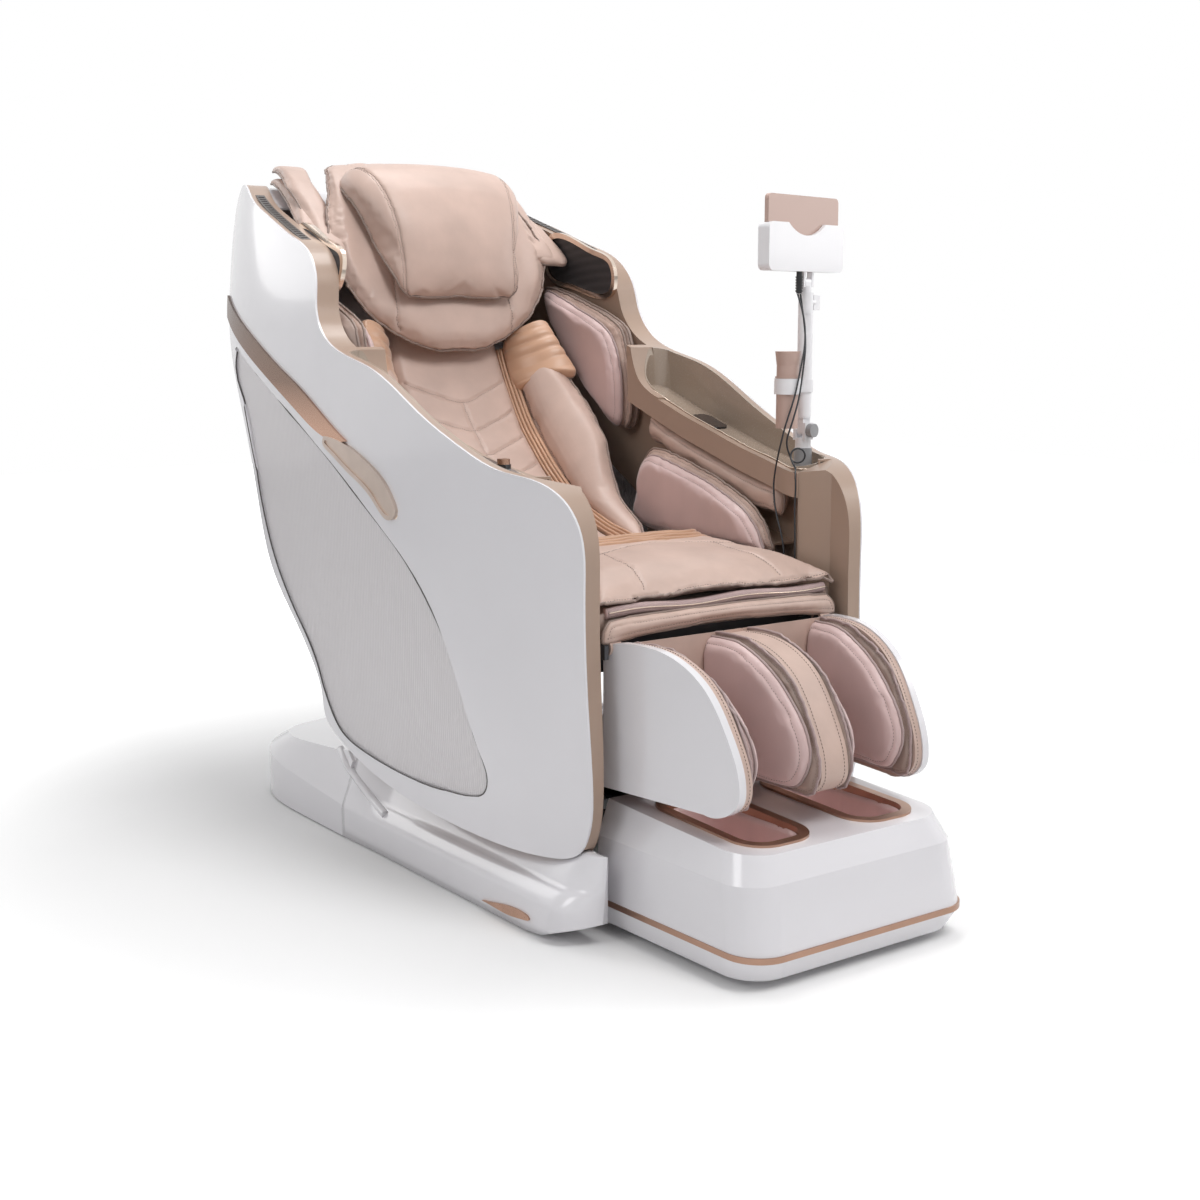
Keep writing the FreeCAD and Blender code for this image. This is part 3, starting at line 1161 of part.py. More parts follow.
def clamp_knob():
    stem = rod_x(MAST_X + MAST_R + SOFT_GAP, MAST_X + 26, MAST_Y, MAST_SPLIT + 22, 5)
    wings = box(MAST_X + 22, MAST_X + 40, MAST_Y - 3, MAST_Y + 3, MAST_SPLIT + 8, MAST_SPLIT + 36)
    return turned(fuse(stem, wings))


def cradle():
    x0 = MAST_X + CRADLE_SHIFT - CRADLE_WIDTH / 2
    x1 = x0 + CRADLE_WIDTH
    y0 = MAST_Y - CRADLE_DEPTH / 2
    y1 = y0 + CRADLE_DEPTH
    body = box(x0, x1, y0, y1, CRADLE_LOW, CRADLE_HIGH)
    corners = [edge for edge in body.Edges if abs(edge.tangentAt(0).y) > 0.99]
    body = body.makeFillet(12.0, corners)
    slot = box(TABLET_X0 - 1, TABLET_X0 + TABLET_WIDTH + 1, MAST_Y - 5.5, MAST_Y + 5.5,
               CRADLE_LOW + 8, CRADLE_HIGH + 10)
    window = box(x0 + 22, x1 - 22, MAST_Y, y1 + 5, CRADLE_LOW + 20, CRADLE_HIGH + 10)
    dip = rod_y(MAST_X + CRADLE_SHIFT, y0 - 5, y1 + 5, CRADLE_HIGH + 62, 84)
    ears = [box(MAST_X + dx, MAST_X + dx + 5, MAST_Y - 6, MAST_Y + 6, MAST_TOP - 2, CRADLE_LOW + 3)
            for dx in (-15, 10)]
    solid = fuse(body.cut([slot, window, dip]), *ears)
    return turned(solid.cut(rod_x(MAST_X - 30, MAST_X + 30, MAST_Y, MAST_TOP + 8, 3 + RUN_CLEARANCE)))


def tablet():
    slab = box(TABLET_X0, TABLET_X0 + TABLET_WIDTH, MAST_Y - TABLET_THICK / 2,
               MAST_Y + TABLET_THICK / 2, CRADLE_LOW + 9, CRADLE_LOW + 9 + TABLET_HEIGHT)
    corners = [edge for edge in slab.Edges if abs(edge.tangentAt(0).y) > 0.99]
    return turned(slab.makeFillet(9.0, corners))


def wand_clip():
    x = MAST_X - WAND_REACH
    ring = rod_z(x, MAST_Y, 893, 922, WAND_R + 4).cut(rod_z(x, MAST_Y, 890, 925, WAND_R + 0.6))
    bridge = box(x + WAND_R + 1, MAST_X - MAST_R - 2, MAST_Y - 8, MAST_Y + 8, 896, 919)
    band_ring = rod_z(MAST_X, MAST_Y, 896, 919, MAST_R + 3).cut(rod_z(MAST_X, MAST_Y, 890, 925, MAST_R - 1))
    return fuse(ring, bridge, band_ring)


def wand():
    x = MAST_X - WAND_REACH
    grip = rod_z(x, MAST_Y, 830, 830 + WAND_LENGTH - 26, WAND_R)
    flare = Part.makeCone(WAND_R, WAND_R + 3.2, 26, vec(x, MAST_Y, 830 + WAND_LENGTH - 26), vec(0, 0, 1))
    lip = rod_z(x, MAST_Y, 922.5, 926, WAND_R + 2.5)
    return turned(fuse(grip, flare, lip))


def plan_prism(points, z0, z1):
    corners = [vec(x, y, z0) for x, y in points + points[:1]]
    return Part.Face(Part.makePolygon(corners)).extrude(vec(0, 0, z1 - z0))


def charge_plate():
    """The charging plate in the left tray, a slanted block with round corners."""
    tool = plan_prism(CHARGE_PLAN, 700, 1000)
    uprights = [edge for edge in tool.Edges if abs(edge.tangentAt(0).z) > 0.99]
    low = -TRAY_DEPTH + TRAY_WALL
    return band(SHELF, low, low + CHARGE_THICK, -300, 0).common(tool.makeFillet(16.0, uprights))


def control_panel():
    body = band(SHELF, -TRAY_DEPTH + TRAY_WALL, PANEL_TOP, -460, -270)
    plate = body.common(plan_prism(PANEL_PLAN, 700, 900))
    seat = rod_z(KNOB_X, KNOB_Y, KNOB_Z - 20, KNOB_Z, KNOB_R + 2).common(
        band(SHELF, -TRAY_DEPTH + TRAY_WALL, 30, -460, -270))
    return mirrored(fuse(plate, seat))


def control_knob():
    return rod_z(-KNOB_X, KNOB_Y, KNOB_Z, KNOB_Z + 9, KNOB_R)


def strain_relief():
    """The ribbed sleeve under the cradle that the cables come out of."""
    body = rod_z(RELIEF_X, RELIEF_Y, RELIEF_LOW, CRADLE_LOW, RELIEF_R - 1.5)
    ribs = [rod_z(RELIEF_X, RELIEF_Y, RELIEF_LOW + 3 + 5 * k, RELIEF_LOW + 6 + 5 * k, RELIEF_R)
            for k in range(6)]
    return fuse(body, *ribs)


def cable(points, name):
    """A thin tube of straight runs joined by tangent arcs along a route."""
    spots = [vec(*point) for point in points]
    edges = []
    radii = []
    start = spots[0]
    for before, corner, after in zip(spots, spots[1:], spots[2:]):
        into = (corner - before)
        out = (after - corner)
        short = min(into.Length, out.Length)
        into.normalize()
        out.normalize()
        half_turn = into.getAngle(out) / 2
        setback = 0.45 * short
        radii.append(setback / math.tan(half_turn))
        first = corner - into * setback
        last = corner + out * setback
        inward = out - into
        inward.normalize()
        centre = corner + inward * (setback / math.sin(half_turn))
        middle = centre - inward * radii[-1]
        edges.append(Part.makeLine(start, first))
        edges.append(Part.Arc(first, middle, last).toShape())
        start = last
    edges.append(Part.makeLine(start, spots[-1]))
    path = Part.Wire(edges)
    circle = Part.Wire([Part.makeCircle(CABLE_D / 2, spots[0], spots[1] - spots[0])])
    tube = path.makePipeShell([circle], True, False)
    print(name, f"length {path.Length:.0f} tightest bend {min(radii):.1f}")
    return tube


def save(name, shape):
    solids = shape.Solids
    if not solids:
        raise ValueError(name + " has no solid")
    body = solids[0] if len(solids) == 1 else Part.makeCompound(solids)
    body.exportStep("parts/" + name + ".step")
    low = body.BoundBox
    print(f"{name:22s} solids {len(solids)} valid {body.isValid()} "
          f"x {low.XMin:.0f}..{low.XMax:.0f} y {low.YMin:.0f}..{low.YMax:.0f} z {low.ZMin:.0f}..{low.ZMax:.0f}"
          f" volume {body.Volume / 1000:.1f}")


def main():
    os.makedirs("parts", exist_ok=True)
    outline = outline_prism()
    inner = outline_prism(LINER_WALL)
    save("side_shells", both(side_shell(outline)))
    save("side_wings", both(side_wing(outline)))
    save("side_panels", both(side_panel()))
    save("light_bars", both(light_bar(outline)))
    save("badges", both(badge()))
    ring = layer(outline.cut(inner), SHELL_WALL, LINER_GAP + LINER_WALL)
    wall = layer(outline, LINER_GAP, LINER_GAP + LINER_WALL)
    save("arm_liners", both(arm_liner(outline, inner, ring, wall)))
    save("wing_liners", both(wing_liner(ring, outline)))
    save("armrest_trays", both(armrest_tray(outline)))
    save("vent_grilles", both(vent_grille()))
    bezel, mesh = speaker()
    save("speaker_bezels", both(bezel))
    save("speaker_meshes", both(mesh))
    save("back_cover", back_cover(outline, inner))
    save("charge_plate", charge_plate())
    save("control_panel", control_panel())
    save("control_knob", control_knob())
    back_inside = outline_prism(LINER_WALL * 2)
    save("seat_frame", seat_frame())
    save("back_frame", back_frame(back_inside))
    save("track_rails", track_rails())
    save("massage_carriage", carriage())
    save("kneading_shaft", kneading_shaft())
    save("roller_arms", roller_arm_frame())
    save("upper_rollers", rollers(1))
    save("lower_rollers", rollers(-1))
    save("back_pad", back_pad())
    save("neck_pad", neck_pad())
    save("head_pillow", head_pillow())
    save("shoulder_pads", both(shoulder_pad()))
    save("hip_pads", both(hip_pad()))
    save("arm_pads", both(arm_pad()))
    save("seat_pad", seat_pad())
    save("seat_flap", seat_flap())
    save("sled_frame", sled_frame())
    save("base_frame", base_frame())
    side_cover = base_side_cover()
    save("base_side_covers", both(side_cover))
    save("base_cover_rear", base_cover_rear())
    save("base_accents", both(base_accent().cut(side_cover)))
    save("rubber_feet", rubber_feet())
    save("power_inlet", power_inlet())
    save("power_switch", power_switch())
    save("transport_wheels", both(transport_wheel()))
    save("drive_units", drive_units())
    save("calf_covers", both(calf_cover()))
    save("calf_frame", calf_frame())
    save("calf_airbags", calf_pads())
    save("foot_housing", foot_housing())
    save("foot_trims", foot_trims())
    save("foot_liners", both(foot_liner()))
    save("foot_rollers", foot_rollers())
    save("mast_socket", arm_mount())
    save("mast_fork", mast_fork())
    save("knuckle_knob", knuckle_knob())
    save("mast_lower", mast_lower())
    save("mast_upper", mast_upper())
    save("clamp_knob", clamp_knob())
    save("tablet_cradle", cradle())
    save("tablet", tablet())
    save("wand", wand())
    save("strain_relief", strain_relief())
    save("cable_a", cable(CABLE_A, "cable_a"))
    save("cable_b", cable(CABLE_B, "cable_b"))


main()
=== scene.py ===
import math

import bmesh
import bpy
from bpy.props import BoolProperty, FloatProperty, FloatVectorProperty, PointerProperty
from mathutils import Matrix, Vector, kdtree, noise
from mathutils.bvhtree import BVHTree
from mathutils.geometry import delaunay_2d_cdt


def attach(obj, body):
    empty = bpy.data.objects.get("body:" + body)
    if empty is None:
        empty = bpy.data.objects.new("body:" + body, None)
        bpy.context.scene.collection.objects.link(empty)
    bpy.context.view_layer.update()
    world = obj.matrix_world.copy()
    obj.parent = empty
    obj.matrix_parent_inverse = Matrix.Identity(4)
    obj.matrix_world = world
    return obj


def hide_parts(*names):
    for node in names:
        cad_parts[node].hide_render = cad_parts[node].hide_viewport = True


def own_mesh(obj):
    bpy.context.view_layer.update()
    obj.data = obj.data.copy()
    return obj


bl_info = {
    "name": "Massage Chair",
    "version": (1, 0, 0),
    "blender": (4, 5, 0),
    "location": "View3D > Sidebar > Chair",
    "description": "Upholstery, finishes and studio for a full body massage chair",
    "category": "Object",
}

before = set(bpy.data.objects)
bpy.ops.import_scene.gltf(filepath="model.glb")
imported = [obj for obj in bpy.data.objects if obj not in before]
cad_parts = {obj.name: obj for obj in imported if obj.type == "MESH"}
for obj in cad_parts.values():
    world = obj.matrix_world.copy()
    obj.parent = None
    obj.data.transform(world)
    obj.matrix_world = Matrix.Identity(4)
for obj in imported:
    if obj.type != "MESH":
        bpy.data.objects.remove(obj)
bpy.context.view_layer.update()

# Lines and outlines are in millimetres in the chair's own frame: the sitter faces -Y, +Z is up.
# A side line is a list of (y, z); left is +X. Meshes are written in metres.
MM = 0.001
CURVE_CUTS = 10         # parts between two given points of a smooth line
LINE_STEP = 4.0         # distance between the points of a drawn line
AIR_FRAMES = 18         # frames for which a pad swells
WAVE_TURN = 0.3142      # a wave texture's scale times the pitch of its bands
CABLE_WIDTH = 0.0035    # in metres
TRAY_HEIGHT = 800       # where the shell's lean is read for the trays

CAMERA_PLACE = (-1.8474, -2.7784, 1.0146)
CAMERA_LENS = 49.81
SENSOR_WIDTH = 36.0
CAMERA_TURN = 36.055    # degrees from the chair's front
CAMERA_DIP = 9.301      # degrees down

BACK_LINE = [(-165, 580), (-50, 606), (60, 652), (135, 706), (190, 756), (238, 806), (275, 858),
             (312, 918), (345, 985), (385, 1070), (425, 1150), (462, 1225)]
NECK_LINE = [(276, 966), (296, 1040), (332, 1130), (378, 1225), (440, 1310), (520, 1362)]
PILLOW_LINE = [(262, 1076), (262, 1130), (280, 1225), (325, 1305), (392, 1350)]
SHELF_LINE = [(-530, 751), (-470, 754), (-427, 763), (-316, 786), (-229, 810), (-130, 838),
              (-53, 864), (60, 905)]
SKIN_PLAN = [(-760, 265), (-640, 306), (-520, 351), (-420, 372), (-250, 390), (0, 400),
             (250, 402), (420, 396), (560, 380), (640, 362), (760, 330)]
SKIN_LEAN = [(60, -32), (140, -16), (220, -6), (320, 0), (500, 0), (850, 0),
             (1000, -6), (1100, -18), (1200, -32), (1320, -52), (1420, -72)]

CABLE_A = [(.2919, -.4626, 1.0772), (.296, -.478, 1.038), (.29, -.489, .986), (.274, -.493, .936),
           (.258, -.496, .886), (.247, -.486, .84), (.244, -.474, .796), (.252, -.454, .756),
           (.254, -.446, .718), (.249, -.46, .672), (.245, -.486, .624), (.246, -.49, .578),
           (.251, -.481, .536), (.254, -.474, .49)]
CABLE_B = [(.2965, -.4654, 1.0772), (.301, -.47, 1.038), (.297, -.483, .984), (.28, -.494, .934),
           (.264, -.502, .884), (.253, -.496, .84), (.249, -.487, .812), (.256, -.48, .796),
           (.2635, -.4796, .781), (.2674, -.4823, .7698), (.2751, -.4892, .7655),
           (.2828, -.496, .7698), (.2856, -.4994, .78), (.2816, -.4976, .7902),
           (.2728, -.4925, .7945), (.2639, -.4872, .7902), (.2602, -.4851, .78),
           (.258, -.493, .7685), (.256, -.502, .761), (.251, -.511, .7575), (.2428, -.518, .749),
           (.2432, -.5205, .725), (.244, -.517, .69), (.2435, -.52, .645), (.2445, -.52, .6),
           (.248, -.513, .56), (.255, -.5, .526), (.258, -.49, .49)]


class ChairColours(bpy.types.PropertyGroup):
    """The colours of the shells, leathers, satins and metals."""

    pearl: FloatVectorProperty(
        name="Pearl white", description="Lacquer of the outer shells", subtype="COLOR", size=3,
        min=0, max=1, default=(0.76, 0.745, 0.775))
    leather: FloatVectorProperty(
        name="Beige leather", description="Main upholstery", subtype="COLOR", size=3,
        min=0, max=1, default=(0.555, 0.405, 0.345))
    rose: FloatVectorProperty(
        name="Rose satin", description="Cloth on the faces of the air cushions", subtype="COLOR",
        size=3, min=0, max=1, default=(0.61, 0.445, 0.43))
    amber: FloatVectorProperty(
        name="Amber satin", description="Pleated straps and ruched panels", subtype="COLOR",
        size=3, min=0, max=1, default=(0.55, 0.33, 0.215))
    liner: FloatVectorProperty(
        name="Champagne liner", description="Satin paint of the inner rims", subtype="COLOR",
        size=3, min=0, max=1, default=(0.385, 0.275, 0.212))
    tray: FloatVectorProperty(
        name="Taupe tray", description="Metallic paint of the armrest trays", subtype="COLOR",
        size=3, min=0, max=1, default=(0.37, 0.295, 0.235))
    bronze: FloatVectorProperty(
        name="Rose gold", description="Bars, rims and the tablet", subtype="COLOR", size=3,
        min=0, max=1, default=(0.50, 0.31, 0.225))


class ChairSewing(bpy.types.PropertyGroup):
    """How full the cushions are, and the sizes of seams and stitches."""

    voxel: FloatProperty(
        name="Cushion mesh", description="Edge length of a cushion's mesh before it is inflated",
        subtype="DISTANCE", unit="LENGTH", default=0.006, min=0.004, max=0.012)
    pressure: FloatProperty(
        name="Air pressure", description="Pressure inside a cushion while it swells",
        default=4.0, min=0.0, max=10.0)
    inflate: BoolProperty(
        name="Inflate", description="Swell each cushion with a cloth simulation", default=True)
    seam_depth: FloatProperty(
        name="Seam depth", description="How far a sewn line pulls the leather in",
        subtype="DISTANCE", unit="LENGTH", default=0.003, min=0.0, max=0.01)
    piping: FloatProperty(
        name="Piping radius", description="Radius of the cord sewn round an edge",
        subtype="DISTANCE", unit="LENGTH", default=0.0026, min=0.001, max=0.006)
    stitch: FloatProperty(
        name="Stitch pitch", description="Distance from one stitch to the next",
        subtype="DISTANCE", unit="LENGTH", default=0.006, min=0.002, max=0.02)


def colours():
    return bpy.context.scene.chair_colours


def sewing():
    return bpy.context.scene.chair_sewing


# Lines and places

def curve_points(points, closed=False):
    """The points of a smooth line through a list of points of any dimension."""
    spots = [Vector(p) for p in points]
    count = len(spots)
    made = []
    for k in range(count if closed else count - 1):
        if closed:
            a, b, c, d = (spots[(k + j - 1) % count] for j in range(4))
        else:
            a, b, c, d = (spots[min(max(k + j - 1, 0), count - 1)] for j in range(4))
        for n in range(CURVE_CUTS):
            t = n / CURVE_CUTS
            made.append(0.5 * (2 * b + (c - a) * t + (2 * a - 5 * b + 4 * c - d) * t * t
                               + (3 * b - a - 3 * c + d) * t ** 3))
    if not closed:
        made.append(spots[-1])
    return made


def even_points(spots, step, closed=False):
    """The same line cut into even lengths of about one step."""
    spots = list(spots) + ([spots[0]] if closed else [])
    lengths = [0.0]
    for a, b in zip(spots, spots[1:]):
        lengths.append(lengths[-1] + (b - a).length)
    count = max(2, round(lengths[-1] / step))
    made = []
    k = 0
    for n in range(count if closed else count + 1):
        at = lengths[-1] * n / count
        while k < len(lengths) - 2 and lengths[k + 1] < at:
            k += 1
        share = (at - lengths[k]) / max(lengths[k + 1] - lengths[k], 1e-9)
        made.append(spots[k].lerp(spots[k + 1], min(max(share, 0), 1)))
    return made


def between(table, at):
    """A value read from a list of (place, value), straight between entries."""
    if at <= table[0][0]:
        return table[0][1]
    for (a, low), (b, high) in zip(table, table[1:]):
        if at <= b:
            return low + (high - low) * (at - a) / (b - a)
    return table[-1][1]


def skin_x(y, z):
    """Half width of the chair's outer skin at a side point, in millimetres."""
    return between(SKIN_PLAN, y) + between(SKIN_LEAN, z)


class SideLine:
    """A smooth side line that is walked by its own length, in millimetres."""

    def __init__(self, points):
        self.spots = even_points(curve_points(points), LINE_STEP)
        self.length = sum((b - a).length for a, b in zip(self.spots, self.spots[1:]))
        self.step = self.length / (len(self.spots) - 1)

    def at(self, s):
        """The point at a length, and the direction square to the line, up and to the front."""
        k = min(max(int(s / self.step), 0), len(self.spots) - 2)
        along = self.spots[k + 1] - self.spots[k]
        spot = self.spots[k] + along * (s / self.step - k)
        before = self.spots[max(k - 2, 0)]
        after = self.spots[min(k + 3, len(self.spots) - 1)]
        along = (after - before).normalized()
        return spot, Vector((-along.y, along.x))

    def place(self, x, s, w):
        """The point x across, s along the line and w off it, in metres."""
        spot, out = self.at(s)
        return Vector((x, spot.x + out.x * w, spot.y + out.y * w)) * MM

    def near(self, y, z):
        """The length at the line's point nearest to a side point."""
        best = min(range(len(self.spots)),
                   key=lambda k: (self.spots[k] - Vector((y, z))).length)
        return best * self.step


BACK = SideLine(BACK_LINE)
NECK = SideLine(NECK_LINE)
PILLOW = SideLine(PILLOW_LINE)


def wall_place(side, depth):
    """Places (y, z, w) on a side wall at a depth from the outer skin, w towards the sitter."""
    def place(y, z, w):
        return Vector((side * (skin_x(y, z) - depth - w), y, z)) * MM
    return place


def flat_place(side, x):
    """Places (y, z, w) on an upright plane, w towards the sitter."""
    def place(y, z, w):
        return Vector((side * (x - w), y, z)) * MM
    return place


# Meshes

def mesh_object(name, verts, faces):
    """A smooth shaded object from points and faces, with its normals outwards."""
    mesh = bpy.data.meshes.new(name)
    mesh.from_pydata([tuple(v) for v in verts], [], faces)
    made = bpy.data.objects.new(name, mesh)
    bpy.context.scene.collection.objects.link(made)
    work = bmesh.new()
    work.from_mesh(mesh)
    bmesh.ops.remove_doubles(work, verts=work.verts, dist=1e-6)
    bmesh.ops.recalc_face_normals(work, faces=work.faces)
    work.to_mesh(mesh)
    work.free()
    mesh.update()
    return smoothed(made)


def smoothed(piece):
    piece.data.polygons.foreach_set("use_smooth", [True] * len(piece.data.polygons))
    return piece


def lofted(name, rings):
    """A closed skin over rings of as many points each, with both ends capped."""
    count = len(rings[0])
    verts = [p for ring in rings for p in ring]
    faces = []
    for start in range(0, len(verts) - count, count):
        for k in range(count):
            a, b = start + k, start + (k + 1) % count
            faces.append((a, b, b + count, a + count))
    faces += [tuple(range(count)), tuple(range(len(verts) - count, len(verts)))]
    return mesh_object(name, verts, faces)


def near_tree(spots):
    """A search tree of points, numbered in their order."""
    tree = kdtree.KDTree(len(spots))
    for k, p in enumerate(spots):
        tree.insert(p, k)
    tree.balance()
    return tree


def baked(piece):
    """The piece with its modifiers applied, as a plain mesh."""
    scene_state = bpy.context.evaluated_depsgraph_get()
    mesh = bpy.data.meshes.new_from_object(piece.evaluated_get(scene_state))
    piece.modifiers.clear()
    old = piece.data
    piece.data = mesh
    if isinstance(old, bpy.types.Mesh):
        bpy.data.meshes.remove(old)
    return piece


def one_piece(name, *pieces):
    """Several meshes as one, with their materials kept."""
    work = bmesh.new()
    materials = []
    for piece in pieces:
        start = len(work.faces)
        work.from_mesh(piece.data)
        work.faces.ensure_lookup_table()
        slots = []
        for material in piece.data.materials:
            if material not in materials:
                materials.append(material)
            slots.append(materials.index(material))
        for face in work.faces[start:]:
            face.material_index = slots[face.material_index] if slots else 0
    mesh = bpy.data.meshes.new(name)
    work.to_mesh(mesh)
    work.free()
    for piece in pieces:
        old = piece.data
        bpy.data.objects.remove(piece)
        if old.users == 0:
            bpy.data.meshes.remove(old)
    for material in materials:
        mesh.materials.append(material)
    made = bpy.data.objects.new(name, mesh)
    bpy.context.scene.collection.objects.link(made)
    return made


def pad(name, outline, place, front, back, edge=14.0, lip=2.5, step=7.0, flange=0.0):
    """A closed pad inside a smooth outline, full in the middle and thin along its edge.

    It reaches its full height at a distance of edge from its seam, or from the flat flange inside
    the seam, where it is lip thick to each side."""
    ring = even_points(curve_points(outline, True), step, True)
    tree = near_tree([p.to_3d() for p in even_points(ring, step / 4, True)])
    low = Vector((min(p.x for p in ring), min(p.y for p in ring)))
    high = Vector((max(p.x for p in ring), max(p.y for p in ring)))
    spots = list(ring)
    for i in range(int((high.x - low.x) / step) + 1):
        for j in range(int((high.y - low.y) / step) + 1):
            p = low + Vector((i + 0.5, j + 0.5)) * step
            if tree.find((p.x, p.y, 0))[2] > step * 0.55:
                spots.append(p)
    found = delaunay_2d_cdt(spots, [], [list(range(len(ring)))], 1, 1e-4)
    flat, tris = found[0], found[2]
    count = len(flat)
    verts = []
    for height, sign in ((front, 1), (back, -1)):
        for p in flat:
            depth = max(0.0, tree.find((p.x, p.y, 0))[2] - flange)
            swell = math.sqrt(max(0.0, 1 - (1 - min(depth / edge, 1)) ** 2))
            tall = height(p.x, p.y) if callable(height) else height
            verts.append(place(p.x, p.y, sign * lip + (tall - sign * lip) * swell))
    faces = [tuple(t) for t in tris] + [tuple(k + count for k in reversed(t)) for t in tris]
    sides = dict.fromkeys((a, b) for t in tris for a, b in zip(t, [*t[1:], t[0]]))
    faces += [(b, a, a + count, b + count) for a, b in sides if (b, a) not in sides]
    return mesh_object(name, verts, faces)


def swollen(piece, cap, voxel=None):
    """Remeshes a pad evenly, lets air swell it as cloth by no more than cap, and smooths it."""
    remesh = piece.modifiers.new("Even mesh", "REMESH")
    remesh.mode = "VOXEL"
    remesh.voxel_size = voxel or sewing().voxel
    baked(piece)
    if sewing().inflate:
        before = [v.co.copy() for v in piece.data.vertices]
        cloth = piece.modifiers.new("Air", "CLOTH")
        cloth.settings.quality = 4
        cloth.settings.mass = 0.25
        cloth.settings.tension_stiffness = 18
        cloth.settings.compression_stiffness = 12
        cloth.settings.shear_stiffness = 6
        cloth.settings.bending_stiffness = 1.5
        cloth.settings.use_pressure = True
        cloth.settings.uniform_pressure_force = sewing().pressure
        cloth.settings.effector_weights.gravity = 0
        cloth.point_cache.frame_start = 1
        cloth.point_cache.frame_end = AIR_FRAMES
        for number in range(1, AIR_FRAMES + 1):
            bpy.context.scene.frame_set(number)
        scene_state = bpy.context.evaluated_depsgraph_get()
        swelled = piece.evaluated_get(scene_state)
        after = [v.co.copy() for v in swelled.data.vertices]
        piece.modifiers.clear()
        for v, a, b in zip(piece.data.vertices, before, after):
            move = b - a
            v.co = a + move * min(1.0, cap / max(move.length, 1e-9))
        bpy.context.scene.frame_set(1)
    smooth = piece.modifiers.new("Round", "SUBSURF")
    smooth.levels = 1
    smooth.render_levels = 1
    return smoothed(baked(piece))


def on_surface(piece, lines, lift=0.0):
    """The lines moved to the nearest points of a piece, and lifted off it."""
    tree = BVHTree.FromObject(piece, bpy.context.evaluated_depsgraph_get())
    moved = []
    for line in lines:
        made = []
        for p in line:
            spot, normal = tree.find_nearest(p)[:2]
            made.append(spot + normal * lift)
        moved.append(made)
    return moved


def sewn(piece, lines, width=0.004, depth=None, pucker=0.0):
    """Pulls a pad in along sewn lines, and returns those lines where they now lie."""
    depth = depth if depth is not None else sewing().seam_depth
    lines = on_surface(piece, [even_points(line, 0.002) for line in lines])
    tree = near_tree([p for line in lines for p in line])
    mesh = piece.data
    mesh.update()
    normals = [v.normal.copy() for v in mesh.vertices]
    for v, normal in zip(mesh.vertices, normals):
        away = tree.find(v.co)[2]
        if away < width * 6:
            pull = depth * math.exp(-(away / width) ** 2)
            if pucker:
                wave = noise.noise(v.co * 90) * pucker
                pull += wave * math.exp(-(away / (width * 3)) ** 2)
            v.co -= normal * pull
    mesh.update()
    return on_surface(piece, lines)


def creased(piece, size, depth, seed=0.0, stretch=(1, 1, 1)):
    """Soft uneven folds all over a pad."""
    mesh = piece.data
    normals = [v.normal.copy() for v in mesh.vertices]
    for v, normal in zip(mesh.vertices, normals):
        spot = Vector((v.co.x * stretch[0], v.co.y * stretch[1], v.co.z * stretch[2])) / size
        v.co += normal * noise.noise(spot + Vector((seed, seed * 2, 0))) * depth
    mesh.update()


# Geometry node trees for what follows a seam

def node_tree(name, inputs):
    """A new tree with named inputs, its input node and its output node."""
    tree = bpy.data.node_groups.new(name, "GeometryNodeTree")
    tree.interface.new_socket("Seam", in_out="INPUT", socket_type="NodeSocketGeometry")
    for label, kind, value in inputs:
        socket = tree.interface.new_socket(label, in_out="INPUT", socket_type=kind)
        if value is not None:
            socket.default_value = value
    tree.interface.new_socket("Result", in_out="OUTPUT", socket_type="NodeSocketGeometry")
    return tree, tree.nodes.new("NodeGroupInput"), tree.nodes.new("NodeGroupOutput")


def finish_tree(tree, start, last, end):
    """Ends a tree with real geometry in the material that it is given."""
    real = tree.nodes.new("GeometryNodeRealizeInstances")
    coat = tree.nodes.new("GeometryNodeSetMaterial")
    tree.links.new(last, real.inputs["Geometry"])
    tree.links.new(real.outputs["Geometry"], coat.inputs["Geometry"])
    tree.links.new(start.outputs["Material"], coat.inputs["Material"])
    tree.links.new(coat.outputs["Geometry"], end.inputs["Result"])
    return tree


def piping_tree():
    """A round cord swept along each line."""
    tree, start, end = node_tree("Piping", [("Radius", "NodeSocketFloat", 0.0025),
                                            ("Sides", "NodeSocketInt", 8),
                                            ("Material", "NodeSocketMaterial", None)])
    line = tree.nodes.new("GeometryNodeMeshToCurve")
    section = tree.nodes.new("GeometryNodeCurvePrimitiveCircle")
    sweep = tree.nodes.new("GeometryNodeCurveToMesh")
    sweep.inputs["Fill Caps"].default_value = True
    smooth = tree.nodes.new("GeometryNodeSetShadeSmooth")
    tree.links.new(start.outputs["Seam"], line.inputs["Mesh"])
    tree.links.new(start.outputs["Radius"], section.inputs["Radius"])
    tree.links.new(start.outputs["Sides"], section.inputs["Resolution"])
    tree.links.new(line.outputs["Curve"], sweep.inputs["Curve"])
    tree.links.new(section.outputs["Curve"], sweep.inputs["Profile Curve"])
    tree.links.new(sweep.outputs["Mesh"], smooth.inputs["Geometry"])
    return finish_tree(tree, start, smooth.outputs["Geometry"], end)


